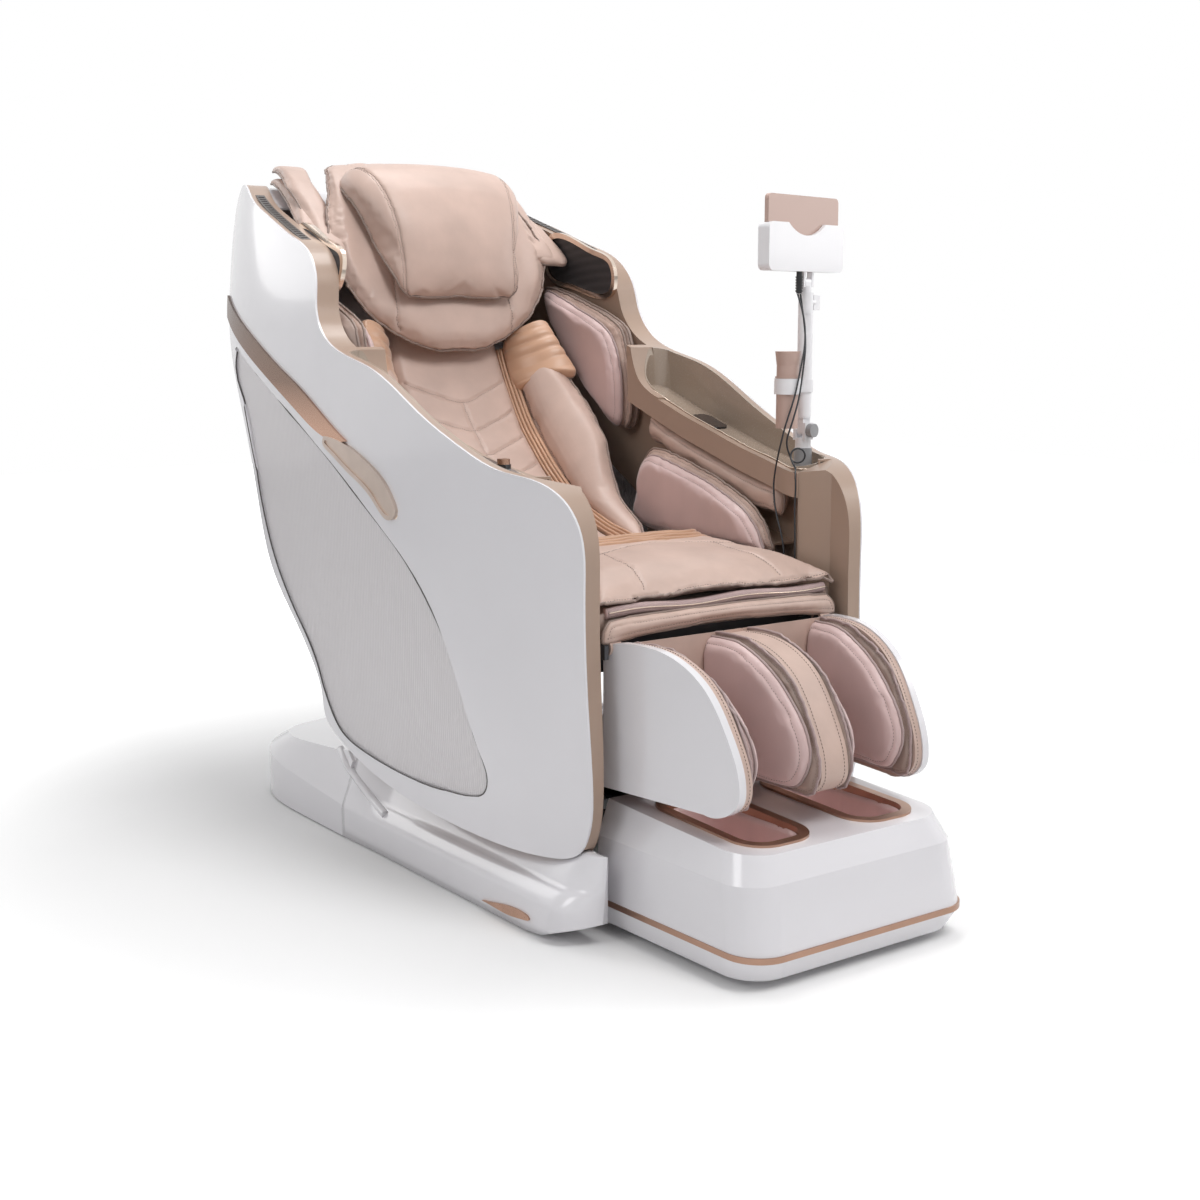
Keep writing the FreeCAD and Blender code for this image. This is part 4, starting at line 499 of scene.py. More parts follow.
def stitch_tree():
    """Short threads laid end to end along each line, with a gap between them."""
    tree, start, end = node_tree("Stitches", [("Pitch", "NodeSocketFloat", 0.006),
                                              ("Thread", "NodeSocketFloat", 0.0006),
                                              ("Length", "NodeSocketFloat", 0.0038),
                                              ("Material", "NodeSocketMaterial", None)])
    line = tree.nodes.new("GeometryNodeMeshToCurve")
    cut = tree.nodes.new("GeometryNodeResampleCurve")
    cut.mode = "LENGTH"
    thread = tree.nodes.new("GeometryNodeMeshIcoSphere")
    thread.inputs["Subdivisions"].default_value = 1
    thread.inputs["Radius"].default_value = 1.0
    along = tree.nodes.new("GeometryNodeInputTangent")
    turn = tree.nodes.new("FunctionNodeAlignRotationToVector")
    turn.axis = "Z"
    half = tree.nodes.new("ShaderNodeMath")
    half.operation = "MULTIPLY"
    half.inputs[1].default_value = 0.5
    size = tree.nodes.new("ShaderNodeCombineXYZ")
    lay = tree.nodes.new("GeometryNodeInstanceOnPoints")
    tree.links.new(start.outputs["Seam"], line.inputs["Mesh"])
    tree.links.new(line.outputs["Curve"], cut.inputs["Curve"])
    tree.links.new(start.outputs["Pitch"], cut.inputs["Length"])
    tree.links.new(along.outputs["Tangent"], turn.inputs["Vector"])
    tree.links.new(start.outputs["Length"], half.inputs[0])
    tree.links.new(start.outputs["Thread"], size.inputs["X"])
    tree.links.new(start.outputs["Thread"], size.inputs["Y"])
    tree.links.new(half.outputs[0], size.inputs["Z"])
    tree.links.new(cut.outputs["Curve"], lay.inputs["Points"])
    tree.links.new(thread.outputs["Mesh"], lay.inputs["Instance"])
    tree.links.new(turn.outputs["Rotation"], lay.inputs["Rotation"])
    tree.links.new(size.outputs["Vector"], lay.inputs["Scale"])
    return finish_tree(tree, start, lay.outputs["Instances"], end)


def along_seams(name, tree_name, maker, lines, material, **sizes):
    """A plain mesh made by a node tree that follows open lines of points."""
    tree = bpy.data.node_groups.get(tree_name) or maker()
    verts = []
    edges = []
    for line in lines:
        start = len(verts)
        verts += [tuple(p) for p in line]
        edges += [(k, k + 1) for k in range(start, len(verts) - 1)]
    mesh = bpy.data.meshes.new(name)
    mesh.from_pydata(verts, edges, [])
    made = bpy.data.objects.new(name, mesh)
    bpy.context.scene.collection.objects.link(made)
    follow = made.modifiers.new(tree_name, "NODES")
    follow.node_group = tree
    sockets = {item.name: item.identifier for item in tree.interface.items_tree
               if item.item_type == "SOCKET" and item.in_out == "INPUT"}
    follow[sockets["Material"]] = material
    for label, value in sizes.items():
        follow[sockets[label]] = value
    return baked(made)


def piping(name, lines, material, radius=None):
    """A round cord along each line, as wide as the sewing sizes say unless told otherwise."""
    return along_seams(name, "Piping", piping_tree, lines, material,
                       Radius=radius or sewing().piping)


def stitches(name, lines, material, pitch=None, thread=0.0007):
    """A row of stitches along each line."""
    pitch = pitch or sewing().stitch
    return along_seams(name, "Stitches", stitch_tree, lines, material,
                       Pitch=pitch, Length=pitch * 0.68, Thread=thread)


def ring_line(outline, place, w=0.0, step=5.0, inset=0.0):
    """A closed line round an outline, moved inwards by an inset, in metres."""
    spots = even_points(curve_points(outline, True), step, True)
    if inset:
        area = sum(a.x * b.y - b.x * a.y for a, b in zip(spots, spots[1:] + spots[:1]))
        sign = 1 if area > 0 else -1
        count = len(spots)
        moved = []
        for k in range(count):
            along = (spots[(k + 2) % count] - spots[k - 2]).normalized()
            moved.append(spots[k] + Vector((-along.y, along.x)) * inset * sign)
        spots = moved
    line = [place(p.x, p.y, w) for p in spots]
    return line + line[:1]


def drawn_line(points, place, w=0.0):
    """A smooth open line through points on a surface, in metres."""
    return [place(p.x, p.y, w) for p in even_points(curve_points(points), LINE_STEP)]


# Materials

def finish(name, colour, rough, metal=0.0, coat=0.0, sheen=0.0):
    """A new surface with its even values set, and the parts that its pattern is built from."""
    made = bpy.data.materials.new(name)
    made.use_nodes = True
    shader = made.node_tree.nodes["Principled BSDF"]
    shader.inputs["Base Color"].default_value = (*colour, 1)
    shader.inputs["Roughness"].default_value = rough
    shader.inputs["Metallic"].default_value = metal
    shader.inputs["Coat Weight"].default_value = coat
    shader.inputs["Coat Roughness"].default_value = 0.08
    shader.inputs["Sheen Weight"].default_value = sheen
    shader.inputs["Sheen Roughness"].default_value = 0.4
    shader.inputs["IOR"].default_value = 1.5
    spot = made.node_tree.nodes.new("ShaderNodeTexCoord")
    return made, shader, spot.outputs["Object"]


def noise_of(made, spot, scale, detail=3.0, stretch=None):
    """A cloudy pattern, from 0 to 1."""
    nodes, links = made.node_tree.nodes, made.node_tree.links
    pattern = nodes.new("ShaderNodeTexNoise")
    pattern.inputs["Scale"].default_value = scale
    pattern.inputs["Detail"].default_value = detail
    pattern.inputs["Roughness"].default_value = 0.5
    if stretch:
        place = nodes.new("ShaderNodeMapping")
        place.inputs["Scale"].default_value = stretch
        links.new(spot, place.inputs["Vector"])
        spot = place.outputs["Vector"]
    links.new(spot, pattern.inputs["Vector"])
    return pattern.outputs["Fac"]


def tone(made, shader, factor, dark, light, low=0.3, high=0.7):
    """The surface's colour runs from dark to light with a pattern."""
    ramp = made.node_tree.nodes.new("ShaderNodeValToRGB")
    ramp.color_ramp.elements[0].position = low
    ramp.color_ramp.elements[0].color = (*dark, 1)
    ramp.color_ramp.elements[1].position = high
    ramp.color_ramp.elements[1].color = (*light, 1)
    made.node_tree.links.new(factor, ramp.inputs["Fac"])
    made.node_tree.links.new(ramp.outputs["Color"], shader.inputs["Base Color"])
    return ramp


def roughness_from(made, shader, factor, low, high):
    """The surface's roughness runs from low to high with a pattern."""
    spread = made.node_tree.nodes.new("ShaderNodeMapRange")
    spread.inputs["To Min"].default_value = low
    spread.inputs["To Max"].default_value = high
    made.node_tree.links.new(factor, spread.inputs["Value"])
    made.node_tree.links.new(spread.outputs["Result"], shader.inputs["Roughness"])


def bump(made, shader, height, strength, distance, under=None):
    """Raises the surface with a pattern, over another bump where one is given."""
    node = made.node_tree.nodes.new("ShaderNodeBump")
    node.inputs["Strength"].default_value = strength
    node.inputs["Distance"].default_value = distance
    made.node_tree.links.new(height, node.inputs["Height"])
    if under is not None:
        made.node_tree.links.new(under.outputs["Normal"], node.inputs["Normal"])
    made.node_tree.links.new(node.outputs["Normal"], shader.inputs["Normal"])
    return node


def scaled(colour, factor):
    """A lighter or darker shade of a colour."""
    return tuple(min(1.0, c * factor) for c in colour)


def leather_finish(name, colour):
    """Fine pebbled grain over a slightly uneven tone."""
    rough = 0.42
    made, shader, spot = finish(name, colour, rough, sheen=0.16)
    nodes, links = made.node_tree.nodes, made.node_tree.links
    grain = nodes.new("ShaderNodeTexVoronoi")
    grain.feature = "SMOOTH_F1"
    grain.inputs["Scale"].default_value = 950
    links.new(spot, grain.inputs["Vector"])
    tone(made, shader, noise_of(made, spot, 14), scaled(colour, 0.92), scaled(colour, 1.06))
    roughness_from(made, shader, noise_of(made, spot, 60), rough - 0.06, rough + 0.08)
    folds = bump(made, shader, noise_of(made, spot, 32, 4), 0.12, 0.004)
    bump(made, shader, grain.outputs["Distance"], 0.22, 0.0004, folds)
    return made


def satin_finish(name, colour, rough=0.38, weave=1600):
    """Stretch satin: a close weave, a soft sheen and fine drawn folds."""
    made, shader, spot = finish(name, colour, rough, sheen=0.5)
    nodes, links = made.node_tree.nodes, made.node_tree.links
    threads = nodes.new("ShaderNodeTexWave")
    threads.inputs["Scale"].default_value = weave
    threads.inputs["Distortion"].default_value = 1.5
    threads.bands_direction = "DIAGONAL"
    links.new(spot, threads.inputs["Vector"])
    tone(made, shader, noise_of(made, spot, 9, 2), scaled(colour, 0.93), scaled(colour, 1.07))
    folds = bump(made, shader, noise_of(made, spot, 26, 3, stretch=(1, 1, 0.4)), 0.16, 0.005)
    bump(made, shader, threads.outputs["Fac"], 0.08, 0.0002, folds)
    return made


def lacquer_finish(name, colour, rough=0.22, coat=0.7):
    """Glossy paint with a faint ripple and a trace of flake."""
    made, shader, spot = finish(name, colour, rough, coat=coat)
    tone(made, shader, noise_of(made, spot, 5, 2), scaled(colour, 0.985), scaled(colour, 1.01))
    roughness_from(made, shader, noise_of(made, spot, 420, 2), rough - 0.03, rough + 0.04)
    bump(made, shader, noise_of(made, spot, 130, 2), 0.03, 0.0006)
    return made


def metal_finish(name, colour, rough, brush=(1, 1, 12)):
    """Brushed metal, with streaks drawn out along one axis."""
    made, shader, spot = finish(name, colour, rough, metal=1.0)
    streaks = noise_of(made, spot, 210, 3, stretch=brush)
    roughness_from(made, shader, streaks, rough - 0.05, rough + 0.09)
    tone(made, shader, noise_of(made, spot, 22, 2), scaled(colour, 0.93), scaled(colour, 1.05))
    bump(made, shader, streaks, 0.04, 0.0003)
    return made


def plastic_finish(name, colour, rough, grain=900, depth=0.00012):
    """A moulding with a fine spark-eroded grain."""
    made, shader, spot = finish(name, colour, rough)
    tone(made, shader, noise_of(made, spot, 30, 2), scaled(colour, 0.9), scaled(colour, 1.1))
    roughness_from(made, shader, noise_of(made, spot, 80, 2), rough - 0.05, rough + 0.06)
    bump(made, shader, noise_of(made, spot, grain, 2), 0.25, depth)
    return made


def ribbed_finish(name, colour, pitch):
    """The side panel: upright micro ribs under a satin lacquer, with painted shade in the valleys
    between them.
    """
    made, shader, spot = finish(name, colour, 0.36, coat=0.25)
    nodes, links = made.node_tree.nodes, made.node_tree.links
    ribs = nodes.new("ShaderNodeTexWave")
    ribs.bands_direction = "Y"
    ribs.wave_profile = "SIN"
    ribs.inputs["Scale"].default_value = WAVE_TURN / pitch
    ribs.inputs["Distortion"].default_value = 0.0
    links.new(spot, ribs.inputs["Vector"])
    # painted shade: the colour is a tenth darker in the valleys of the ribs
    tone(made, shader, ribs.outputs["Fac"], scaled(colour, 0.9), scaled(colour, 1.0), 0.0, 0.6)
    bump(made, shader, ribs.outputs["Fac"], 0.8, 0.0012)
    return made


def bar_finish(name):
    """Rose gold with painted shade darkening it towards the upper end of the side bar and a
    painted highlight towards its lower end.
    """
    made, shader, spot = finish(name, colours().bronze, 0.27, metal=0.9)
    nodes, links = made.node_tree.nodes, made.node_tree.links
    split = nodes.new("ShaderNodeSeparateXYZ")
    painted_shade_by_height = nodes.new("ShaderNodeMapRange")
    painted_shade_by_height.inputs["From Min"].default_value = 1.06
    painted_shade_by_height.inputs["From Max"].default_value = 0.82
    links.new(spot, split.inputs["Vector"])
    links.new(split.outputs["Z"], painted_shade_by_height.inputs["Value"])
    # painted shade and painted highlight: the colour runs from 0.22 of the rose gold high on the
    # bar to 1.25 of it low down
    ramp = tone(made, shader, painted_shade_by_height.outputs["Result"], scaled(colours().bronze, 0.22),
                scaled(colours().bronze, 1.25), 0.0, 1.0)
    middle = ramp.color_ramp.elements.new(0.62)
    middle.color = (*scaled(colours().bronze, 0.45), 1)
    bump(made, shader, noise_of(made, spot, 210, 3, stretch=(1, 1, 12)), 0.04, 0.0003)
    return made


def mesh_finish(name, colour, pitch):
    """A woven speaker cloth of small dark holes."""
    made, shader, spot = finish(name, colour, 0.6)
    nodes, links = made.node_tree.nodes, made.node_tree.links
    holes = nodes.new("ShaderNodeTexVoronoi")
    holes.inputs["Scale"].default_value = 1 / pitch
    holes.inputs["Randomness"].default_value = 0.0
    links.new(spot, holes.inputs["Vector"])
    tone(made, shader, holes.outputs["Distance"], scaled(colour, 0.15), colour, 0.25, 0.5)
    bump(made, shader, holes.outputs["Distance"], 0.6, 0.0008)
    return made


def striped_finish(name, colour, pitch, along):
    """A tape woven in narrow stripes."""
    made, shader, spot = finish(name, colour, 0.5)
    nodes, links = made.node_tree.nodes, made.node_tree.links
    bands = nodes.new("ShaderNodeTexWave")
    bands.bands_direction = along
    bands.inputs["Scale"].default_value = WAVE_TURN / pitch
    links.new(spot, bands.inputs["Vector"])
    tone(made, shader, bands.outputs["Fac"], scaled(colour, 0.5), scaled(colour, 1.15), 0.2, 0.7)
    bump(made, shader, bands.outputs["Fac"], 0.7, 0.0012)
    return made


FINISHES = {}


def paint(key):
    """The material of that name, made the first time it is asked for."""
    if key not in FINISHES:
        FINISHES[key] = MAKERS[key]()
    return FINISHES[key]


MAKERS = {
    "pearl": lambda: lacquer_finish("Pearl lacquer", colours().pearl),
    "white": lambda: lacquer_finish("White moulding", (0.82, 0.81, 0.83), 0.3, 0.3),
    "ribbed": lambda: ribbed_finish("Ribbed panel", (0.75, 0.72, 0.735), 0.006),
    "leather": lambda: leather_finish("Beige leather", colours().leather),
    # painted shade: a darker copy of the beige leather for layers set back under others, the back
    # shoulder layer, the seat's core and the calf pleats
    "painted shade leather": lambda: leather_finish("Shaded leather", scaled(colours().leather, 0.62)),
    "rose": lambda: satin_finish("Rose satin", colours().rose),
    # painted light: a copy of the rose satin made 1.3 times lighter, for the foot wells, which lie
    # in shade
    "lining": lambda: satin_finish("Well lining", scaled(colours().rose, 1.3), 0.5),
    "amber": lambda: satin_finish("Amber satin", colours().amber, 0.33),
    "liner": lambda: lacquer_finish("Champagne liner", colours().liner, 0.34, 0.15),
    "tray": lambda: lacquer_finish("Taupe tray", colours().tray, 0.26, 0.4),
    "bronze": lambda: metal_finish("Rose gold", colours().bronze, 0.26, (1, 12, 1)),
    "dark bronze": lambda: metal_finish("Dark bronze", scaled(colours().bronze, 0.85), 0.3,
                                        (1, 12, 1)),
    "bar": lambda: bar_finish("Shaded bar"),
    # painted shade: a near-black amber for the thin cords laid in the valleys of the pleated
    # straps
    "painted valley shade": lambda: satin_finish("Amber crease", scaled(colours().amber, 0.3), 0.6),
    "bright": lambda: metal_finish("Bright rim", (0.78, 0.66, 0.56), 0.12),
    "steel": lambda: metal_finish("Plated steel", (0.56, 0.57, 0.58), 0.3),
    "frame": lambda: plastic_finish("Powder coat", (0.06, 0.06, 0.065), 0.5, 1400, 0.0002),
    "black": lambda: plastic_finish("Black moulding", (0.016, 0.016, 0.018), 0.38),
    "glass": lambda: lacquer_finish("Dark glass", (0.02, 0.02, 0.024), 0.1, 1.0),
    "grey": lambda: plastic_finish("Grey moulding", (0.3, 0.3, 0.31), 0.4),
    "rubber": lambda: plastic_finish("Rubber", (0.03, 0.03, 0.032), 0.75, 1600, 0.0003),
    "cable": lambda: plastic_finish("Cable jacket", (0.02, 0.022, 0.026), 0.42, 2200, 0.0002),
    "cloth": lambda: mesh_finish("Speaker cloth", (0.045, 0.042, 0.045), 0.0026),
    "vent": lambda: plastic_finish("Vent ribs", (0.07, 0.062, 0.06), 0.42),
    "plate": lambda: metal_finish("Badge plate", (0.60, 0.50, 0.44), 0.34, (1, 14, 1)),
    "tablet": lambda: lacquer_finish("Rose tablet", (0.50, 0.35, 0.30), 0.42, 0.15),
    "thread": lambda: satin_finish("Thread", scaled(colours().leather, 0.34), 0.6, 4000),
    "pipe": lambda: leather_finish("Piping leather", scaled(colours().leather, 0.5)),
    "rose pipe": lambda: satin_finish("Rose piping", scaled(colours().rose, 0.6)),
    "zip": lambda: striped_finish("Zip tape", scaled(colours().rose, 0.95), 0.0024, "X"),
    "void": lambda: plastic_finish("Dark lining", (0.012, 0.01, 0.01), 0.8),
}

NODE_FINISHES = {
    "side_shells": "pearl", "side_wings": "pearl", "side_panels": "ribbed", "light_bars": "bar",
    "badges": "plate", "arm_liners": "liner", "wing_liners": "liner", "armrest_trays": "tray",
    "vent_grilles": "vent", "speaker_bezels": "bright", "speaker_meshes": "cloth",
    "back_cover": "pearl", "charge_plate": "glass", "control_panel": "glass",
    "control_knob": "bronze", "seat_frame": "frame", "back_frame": "frame",
    "track_rails": "steel", "massage_carriage": "black", "kneading_shaft": "steel",
    "roller_arms": "steel", "upper_rollers": "rubber", "lower_rollers": "rubber",
    "sled_frame": "frame", "base_frame": "frame", "base_side_covers": "pearl",
    "base_cover_rear": "pearl", "base_accents": "bronze", "rubber_feet": "rubber",
    "power_inlet": "black", "power_switch": "black", "transport_wheels": "rubber",
    "drive_units": "steel", "calf_covers": "pearl", "calf_frame": "leather",
    "foot_housing": "pearl", "foot_trims": "dark bronze", "foot_rollers": "rubber",
    "mast_socket": "grey", "mast_fork": "white", "knuckle_knob": "grey", "mast_lower": "white",
    "mast_upper": "white", "clamp_knob": "white", "tablet_cradle": "white", "tablet": "tablet",
    "wand": "tablet", "strain_relief": "black",
}


def wear(piece, key):
    """The piece in one finish, given by its key in MAKERS."""
    piece.data.materials.clear()
    piece.data.materials.append(paint(key))
    return piece


def settle(piece, body, slot, *nodes):
    """The piece rides on its body and stands for its CAD nodes. Its slot is not used."""
    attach(piece, body)
    if nodes:
        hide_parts(*nodes)
    return piece


# Operators, one for each piece or group of like pieces

class ChairCables(bpy.types.Operator):
    """Lays the two thin cables from the tablet cradle down to the seat frame"""

    bl_idname = "chair.cables"
    bl_label = "Cables"

    def execute(self, context):
        for name, node, route, length in (("cable_short", "cable_a", CABLE_A, 0.614),
                                          ("cable_long", "cable_b", CABLE_B, 0.711)):
            line = bpy.data.curves.new(name, "CURVE")
            line.dimensions = "3D"
            line.resolution_u = 10
            line.bevel_depth = CABLE_WIDTH / 2
            line.bevel_resolution = 3
            line.use_fill_caps = True
            spline = line.splines.new("NURBS")
            spline.points.add(len(route) - 1)
            for point, spot in zip(spline.points, route):
                point.co = (*spot, 1)
            spline.order_u = 3
            spline.use_endpoint_u = True
            cable = bpy.data.objects.new(name, line)
            context.scene.collection.objects.link(cable)
            line.materials.append(paint("cable"))
            settle(cable, "cabin", "cable_black", node)
            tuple(route[0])
        return {"FINISHED"}


class ChairFinishes(bpy.types.Operator):
    """Gives every solid of the frame its own lacquer, metal, moulding or rubber"""

    bl_idname = "chair.finishes"
    bl_label = "Solid finishes"

    def execute(self, context):
        for name, key in NODE_FINISHES.items():
            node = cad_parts[name]
            for slot in node.material_slots:
                slot.material = paint(key)
            if not node.material_slots:
                node.data.materials.append(paint(key))
        return {"FINISHED"}


def half_outline(points):
    """A closed outline, mirrored about x = 0, from the points of its +X half."""
    other = [(-x, y) for x, y in reversed(points) if abs(x) > 1]
    return list(points) + other


def sideways(spots, outs):
    """For each spot of a path: the spot, the way out from it and the way across the path."""
    for k, (p, out) in enumerate(zip(spots, outs)):
        along = (spots[min(k + 1, len(spots) - 1)] - spots[max(k - 1, 0)]).normalized()
        yield p, out, along.cross(out).normalized()


def pleated_band(name, spots, outs, width, pleats, height, sink=3.0):
    """A gathered strap along a path: ridges run along it, over a closed underside."""
    count = pleats * 6 + 1
    rings = []
    for p, out, across in sideways(spots, outs):
        ring = []
        for n in range(count):
            share = n / (count - 1)
            ridge = abs(math.sin(share * pleats * math.pi)) ** 0.6
            wave = noise.noise(Vector((p.x * 26, p.z * 26 + p.y * 20, share * 3))) * height * 0.35
            rise = height * ridge * min(1, 4 * min(share, 1 - share) + 0.25) + wave * ridge
            ring.append(p + across * (share - 0.5) * width * MM + out * rise * MM)
        ring.append(p + across * 0.48 * width * MM - out * sink * MM)
        ring.append(p - across * 0.48 * width * MM - out * sink * MM)
        rings.append(ring)
    return lofted(name, rings)


def strap_of(name, spots, outs, width, pleats, height, sink):
    """An amber strap with painted shade, a thin dark cord, in each valley between two pleats."""
    band = wear(pleated_band(name, spots, outs, width, pleats, height, sink), "amber")
    # painted shade: a dark cord along each valley between two pleats
    valleys = [[p + across * (n / pleats - 0.5) * width * MM
                for p, _, across in sideways(spots, outs)] for n in range(1, pleats)]
    return one_piece(name, band, piping(name + "_painted_valley_shade", on_surface(band, valleys, 0.0004),
                                        paint("painted valley shade"), 0.0009))


class ChairBack(bpy.types.Operator):
    """Makes the quilted back panel, its two raised bolsters and the amber straps between them"""

    bl_idname = "chair.back"
    bl_label = "Back cushion"

    def execute(self, context):
        outline = half_outline([(0, 4), (104, 6), (130, 30), (136, 200), (139, 450), (142, 700),
                                (142, 900), (122, 935), (0, 938)])
        panel = pad("back_panel", outline, BACK.place,
                    lambda x, s: 9 + 6 * math.cos(min(abs(x) / 140, 1) * 1.5), -10, 24)
        wear(swollen(panel, 0.007), "leather")
        rows = [drawn_line([(-126, s + 54), (-60, s + 22), (0, s), (60, s + 22), (126, s + 54)],
                           BACK.place, 22) for s in (215, 303, 380, 450, 525)]
        spine = drawn_line([(0, 150), (0, 330), (0, 525)], BACK.place, 22)
        threads = sewn(panel, rows + [spine], 0.0045, pucker=0.0012)
        threads = on_surface(panel, threads, 0.0004)
        work = [stitches("back_stitches", threads, paint("thread"), 0.0045, 0.0005)]
        bolsters = []
        for side in (1, -1):
            bolster, seams, strap = self.bolster(side)
            bolsters.append(bolster)
            work += [stitches("bolster_stitches", seams[:1], paint("thread")),
                     piping("bolster_piping", seams[1:], paint("pipe"))]
            work.append(strap)
        settle(panel, "cabin", "leather_beige", "back_pad")
        cushions = one_piece("back_bolsters", *bolsters)
        settle(cushions, "cabin", "leather_beige", "back_pad")
        ruches = one_piece("back_ruches", self.ruche(1), self.ruche(-1))
        settle(ruches, "cabin", "leather_beige")
        settle(one_piece("back_trim", *work), "cabin", "leather_beige")
        return {"FINISHED"}

    def face(self, side):
        """Places (u, v, w) on a bolster: u from the strap outwards, v up from the seat."""
        ridge = SideLine([(-163, 586), (-108, 618), (-20, 668), (36, 722), (92, 792), (165, 862),
                          (232, 940), (272, 1005)])
        reach = [(586, 28), (620, 58), (690, 90), (780, 118), (860, 122), (940, 102), (1005, 84)]
        foot = BACK.near(330, 955)

        def place(u, v, w):
            share = min(max(v / ridge.length, 0), 1.05)
            inner, inner_out = BACK.at(foot * share)
            outer, outer_out = ridge.at(ridge.length * share)
            wide = between(reach, outer.y)
            across = u / 110
            rise = math.sin(min(max(across, 0), 1) * math.pi / 2) ** 0.75
            spot = inner.lerp(outer, rise)
            out = inner_out.lerp(outer_out, rise)
            lean = math.cos(min(max(across, 0), 1) * math.pi / 2) * 0.75
            x = 160 + (wide - 16) * across - w * lean
            return Vector((side * x, spot.x + out.x * w, spot.y + out.y * w)) * MM
        return place, ridge.length

    def bolster(self, side):
        """A bolster, its stitched line with its edge, and the strap along its inner side."""
        place, length = self.face(side)
        outline = [(2, 4), (50, 0), (100, 4), (110, 40), (110, length * 0.35),
                   (110, length * 0.7), (108, length - 18), (90, length), (20, length),
                   (2, length - 14), (0, length * 0.7), (0, length * 0.35)]
        made = pad("bolster", outline, place, 14, lambda u, v: -14 - 30 * u / 110, 32, 3, flange=9)
        wear(swollen(made, 0.010), "leather")
        ring = ring_line(outline, place, 3, inset=8)
        stitched = sewn(made, [ring], 0.004, 0.003, 0.001)
        edge = on_surface(made, [ring_line(outline, place, 0)], 0.0008)
        walk = range(6, int(length * 1.02), 6)
        spots = [place(-9, v, 10) for v in walk]
        outs = [(place(-9, v, 20) - place(-9, v, 10)).normalized() for v in walk]
        strap = strap_of("strap", spots, outs, 32, 4, 7.0, 16)
        return made, on_surface(made, stitched, 0.0004) + edge, strap

    def ruche(self, side):
        """The gathered amber panel at the upper end of a bolster."""
        place, length = self.face(side)
        outline = [(-2, length * 0.86), (55, length * 0.835), (112, length * 0.81),
                   (115, length * 0.92), (108, length * 1.03), (50, length * 1.045),
                   (-2, length * 1.03)]

        def folds(u, v):
            along = v + 0.22 * u + 7 * math.sin(u / 26)
            swing = 0.6 + 0.4 * math.sin(u / 35 + v / 19)
            return 20 + 4.5 * abs(math.sin(along / 8.5)) ** 0.7 * swing
        return wear(pad("ruche", outline, place, folds, 6, 9, 3, 3.0), "amber")


class ChairNeck(bpy.types.Operator):
    """Makes the shawl behind the pillow and the two layered leaves on each side of it"""

    bl_idname = "chair.neck"
    bl_label = "Neck shawl and side leaves"

    def execute(self, context):
        outline = half_outline([(0, -6), (70, -3), (144, 26), (205, 70), (246, 128), (264, 182),
                                (267, 238), (256, 290), (238, 342), (220, 396), (196, 444),
                                (120, 472), (0, 478)])

        def place(x, t, w):
            curl = 24 * max(0, (abs(x) - 130) / 135) ** 2
            return NECK.place(x, t, w + curl)
        shawl = pad("neck_shawl", outline, place,
                    lambda x, t: 12 + 9 * math.cos(min(abs(x) / 200, 1) * 1.5), -9, 40, 3,
                    flange=8)
        wear(swollen(shawl, 0.008), "leather")
        seams = [drawn_line([(side * 146, 30), (side * 138, 110), (side * 132, 210),
                             (side * 150, 330)], place, 30) for side in (1, -1)]
        inner = ring_line(outline, place, 6, inset=8)
        lines = sewn(shawl, seams + [inner], 0.0036, 0.003, 0.0012)
        creased(shawl, 0.05, 0.0012, 3)
        lines = on_surface(shawl, lines, 0.0004)
        work = [stitches("neck_stitches", lines, paint("thread")),
                piping("neck_piping", on_surface(shawl, [ring_line(outline, place)], 0.001),
                       paint("pipe"))]
        settle(shawl, "cabin", "leather_beige", "neck_pad")
        settle(one_piece("neck_trim", *work), "cabin", "leather_beige")
        leaves, trims = zip(*[
            self.leaf(side, points, x0, x1) for side in (1, -1) for points, x0, x1 in (
                ([(318, 1150), (352, 1186), (400, 1228), (450, 1260), (485, 1280), (560, 1312),
                  (610, 1318)], 246, 330),
                ([(322, 1160), (362, 1202), (412, 1250), (446, 1280), (478, 1302), (550, 1338),
                  (610, 1344)], 214, 286))])
        settle(one_piece("side_leaves", *leaves), "cabin", "leather_beige", "neck_pad")
        settle(one_piece("side_leaf_piping", *trims), "cabin", "leather_beige")
        return {"FINISHED"}

    def leaf(self, side, points, x0, x1):
        """A thin padded leaf between two widths along a side line, kept inside the shell."""
        line = SideLine(points)
        wide = x1 - x0

        def place(u, v, w):
            spot, out = line.at(min(max(v, 0), line.length))
            beyond = v - min(max(v, 0), line.length)
            limit = skin_x(spot.x, spot.y) - 54
            x = min(x0 + wide, limit) - wide + u
            return Vector((side * x, spot.x + out.x * w + beyond * 0.7,
                           spot.y + out.y * w + beyond * 0.7)) * MM
        outline = [(0, 30), (14, 4), (40, 0), (wide, 14), (wide, line.length * 0.5),
                   (wide, line.length - 20), (wide - 12, line.length), (10, line.length),
                   (0, line.length - 20), (0, line.length * 0.5)]
        made = pad("leaf", outline, place, 9, -9, 20, 2.5)
        wear(swollen(made, 0.006, 0.005), "leather")
        edge = on_surface(made, [ring_line(outline, place)], 0.0008)
        return made, piping("leaf_piping", edge, paint("pipe"), 0.0022)


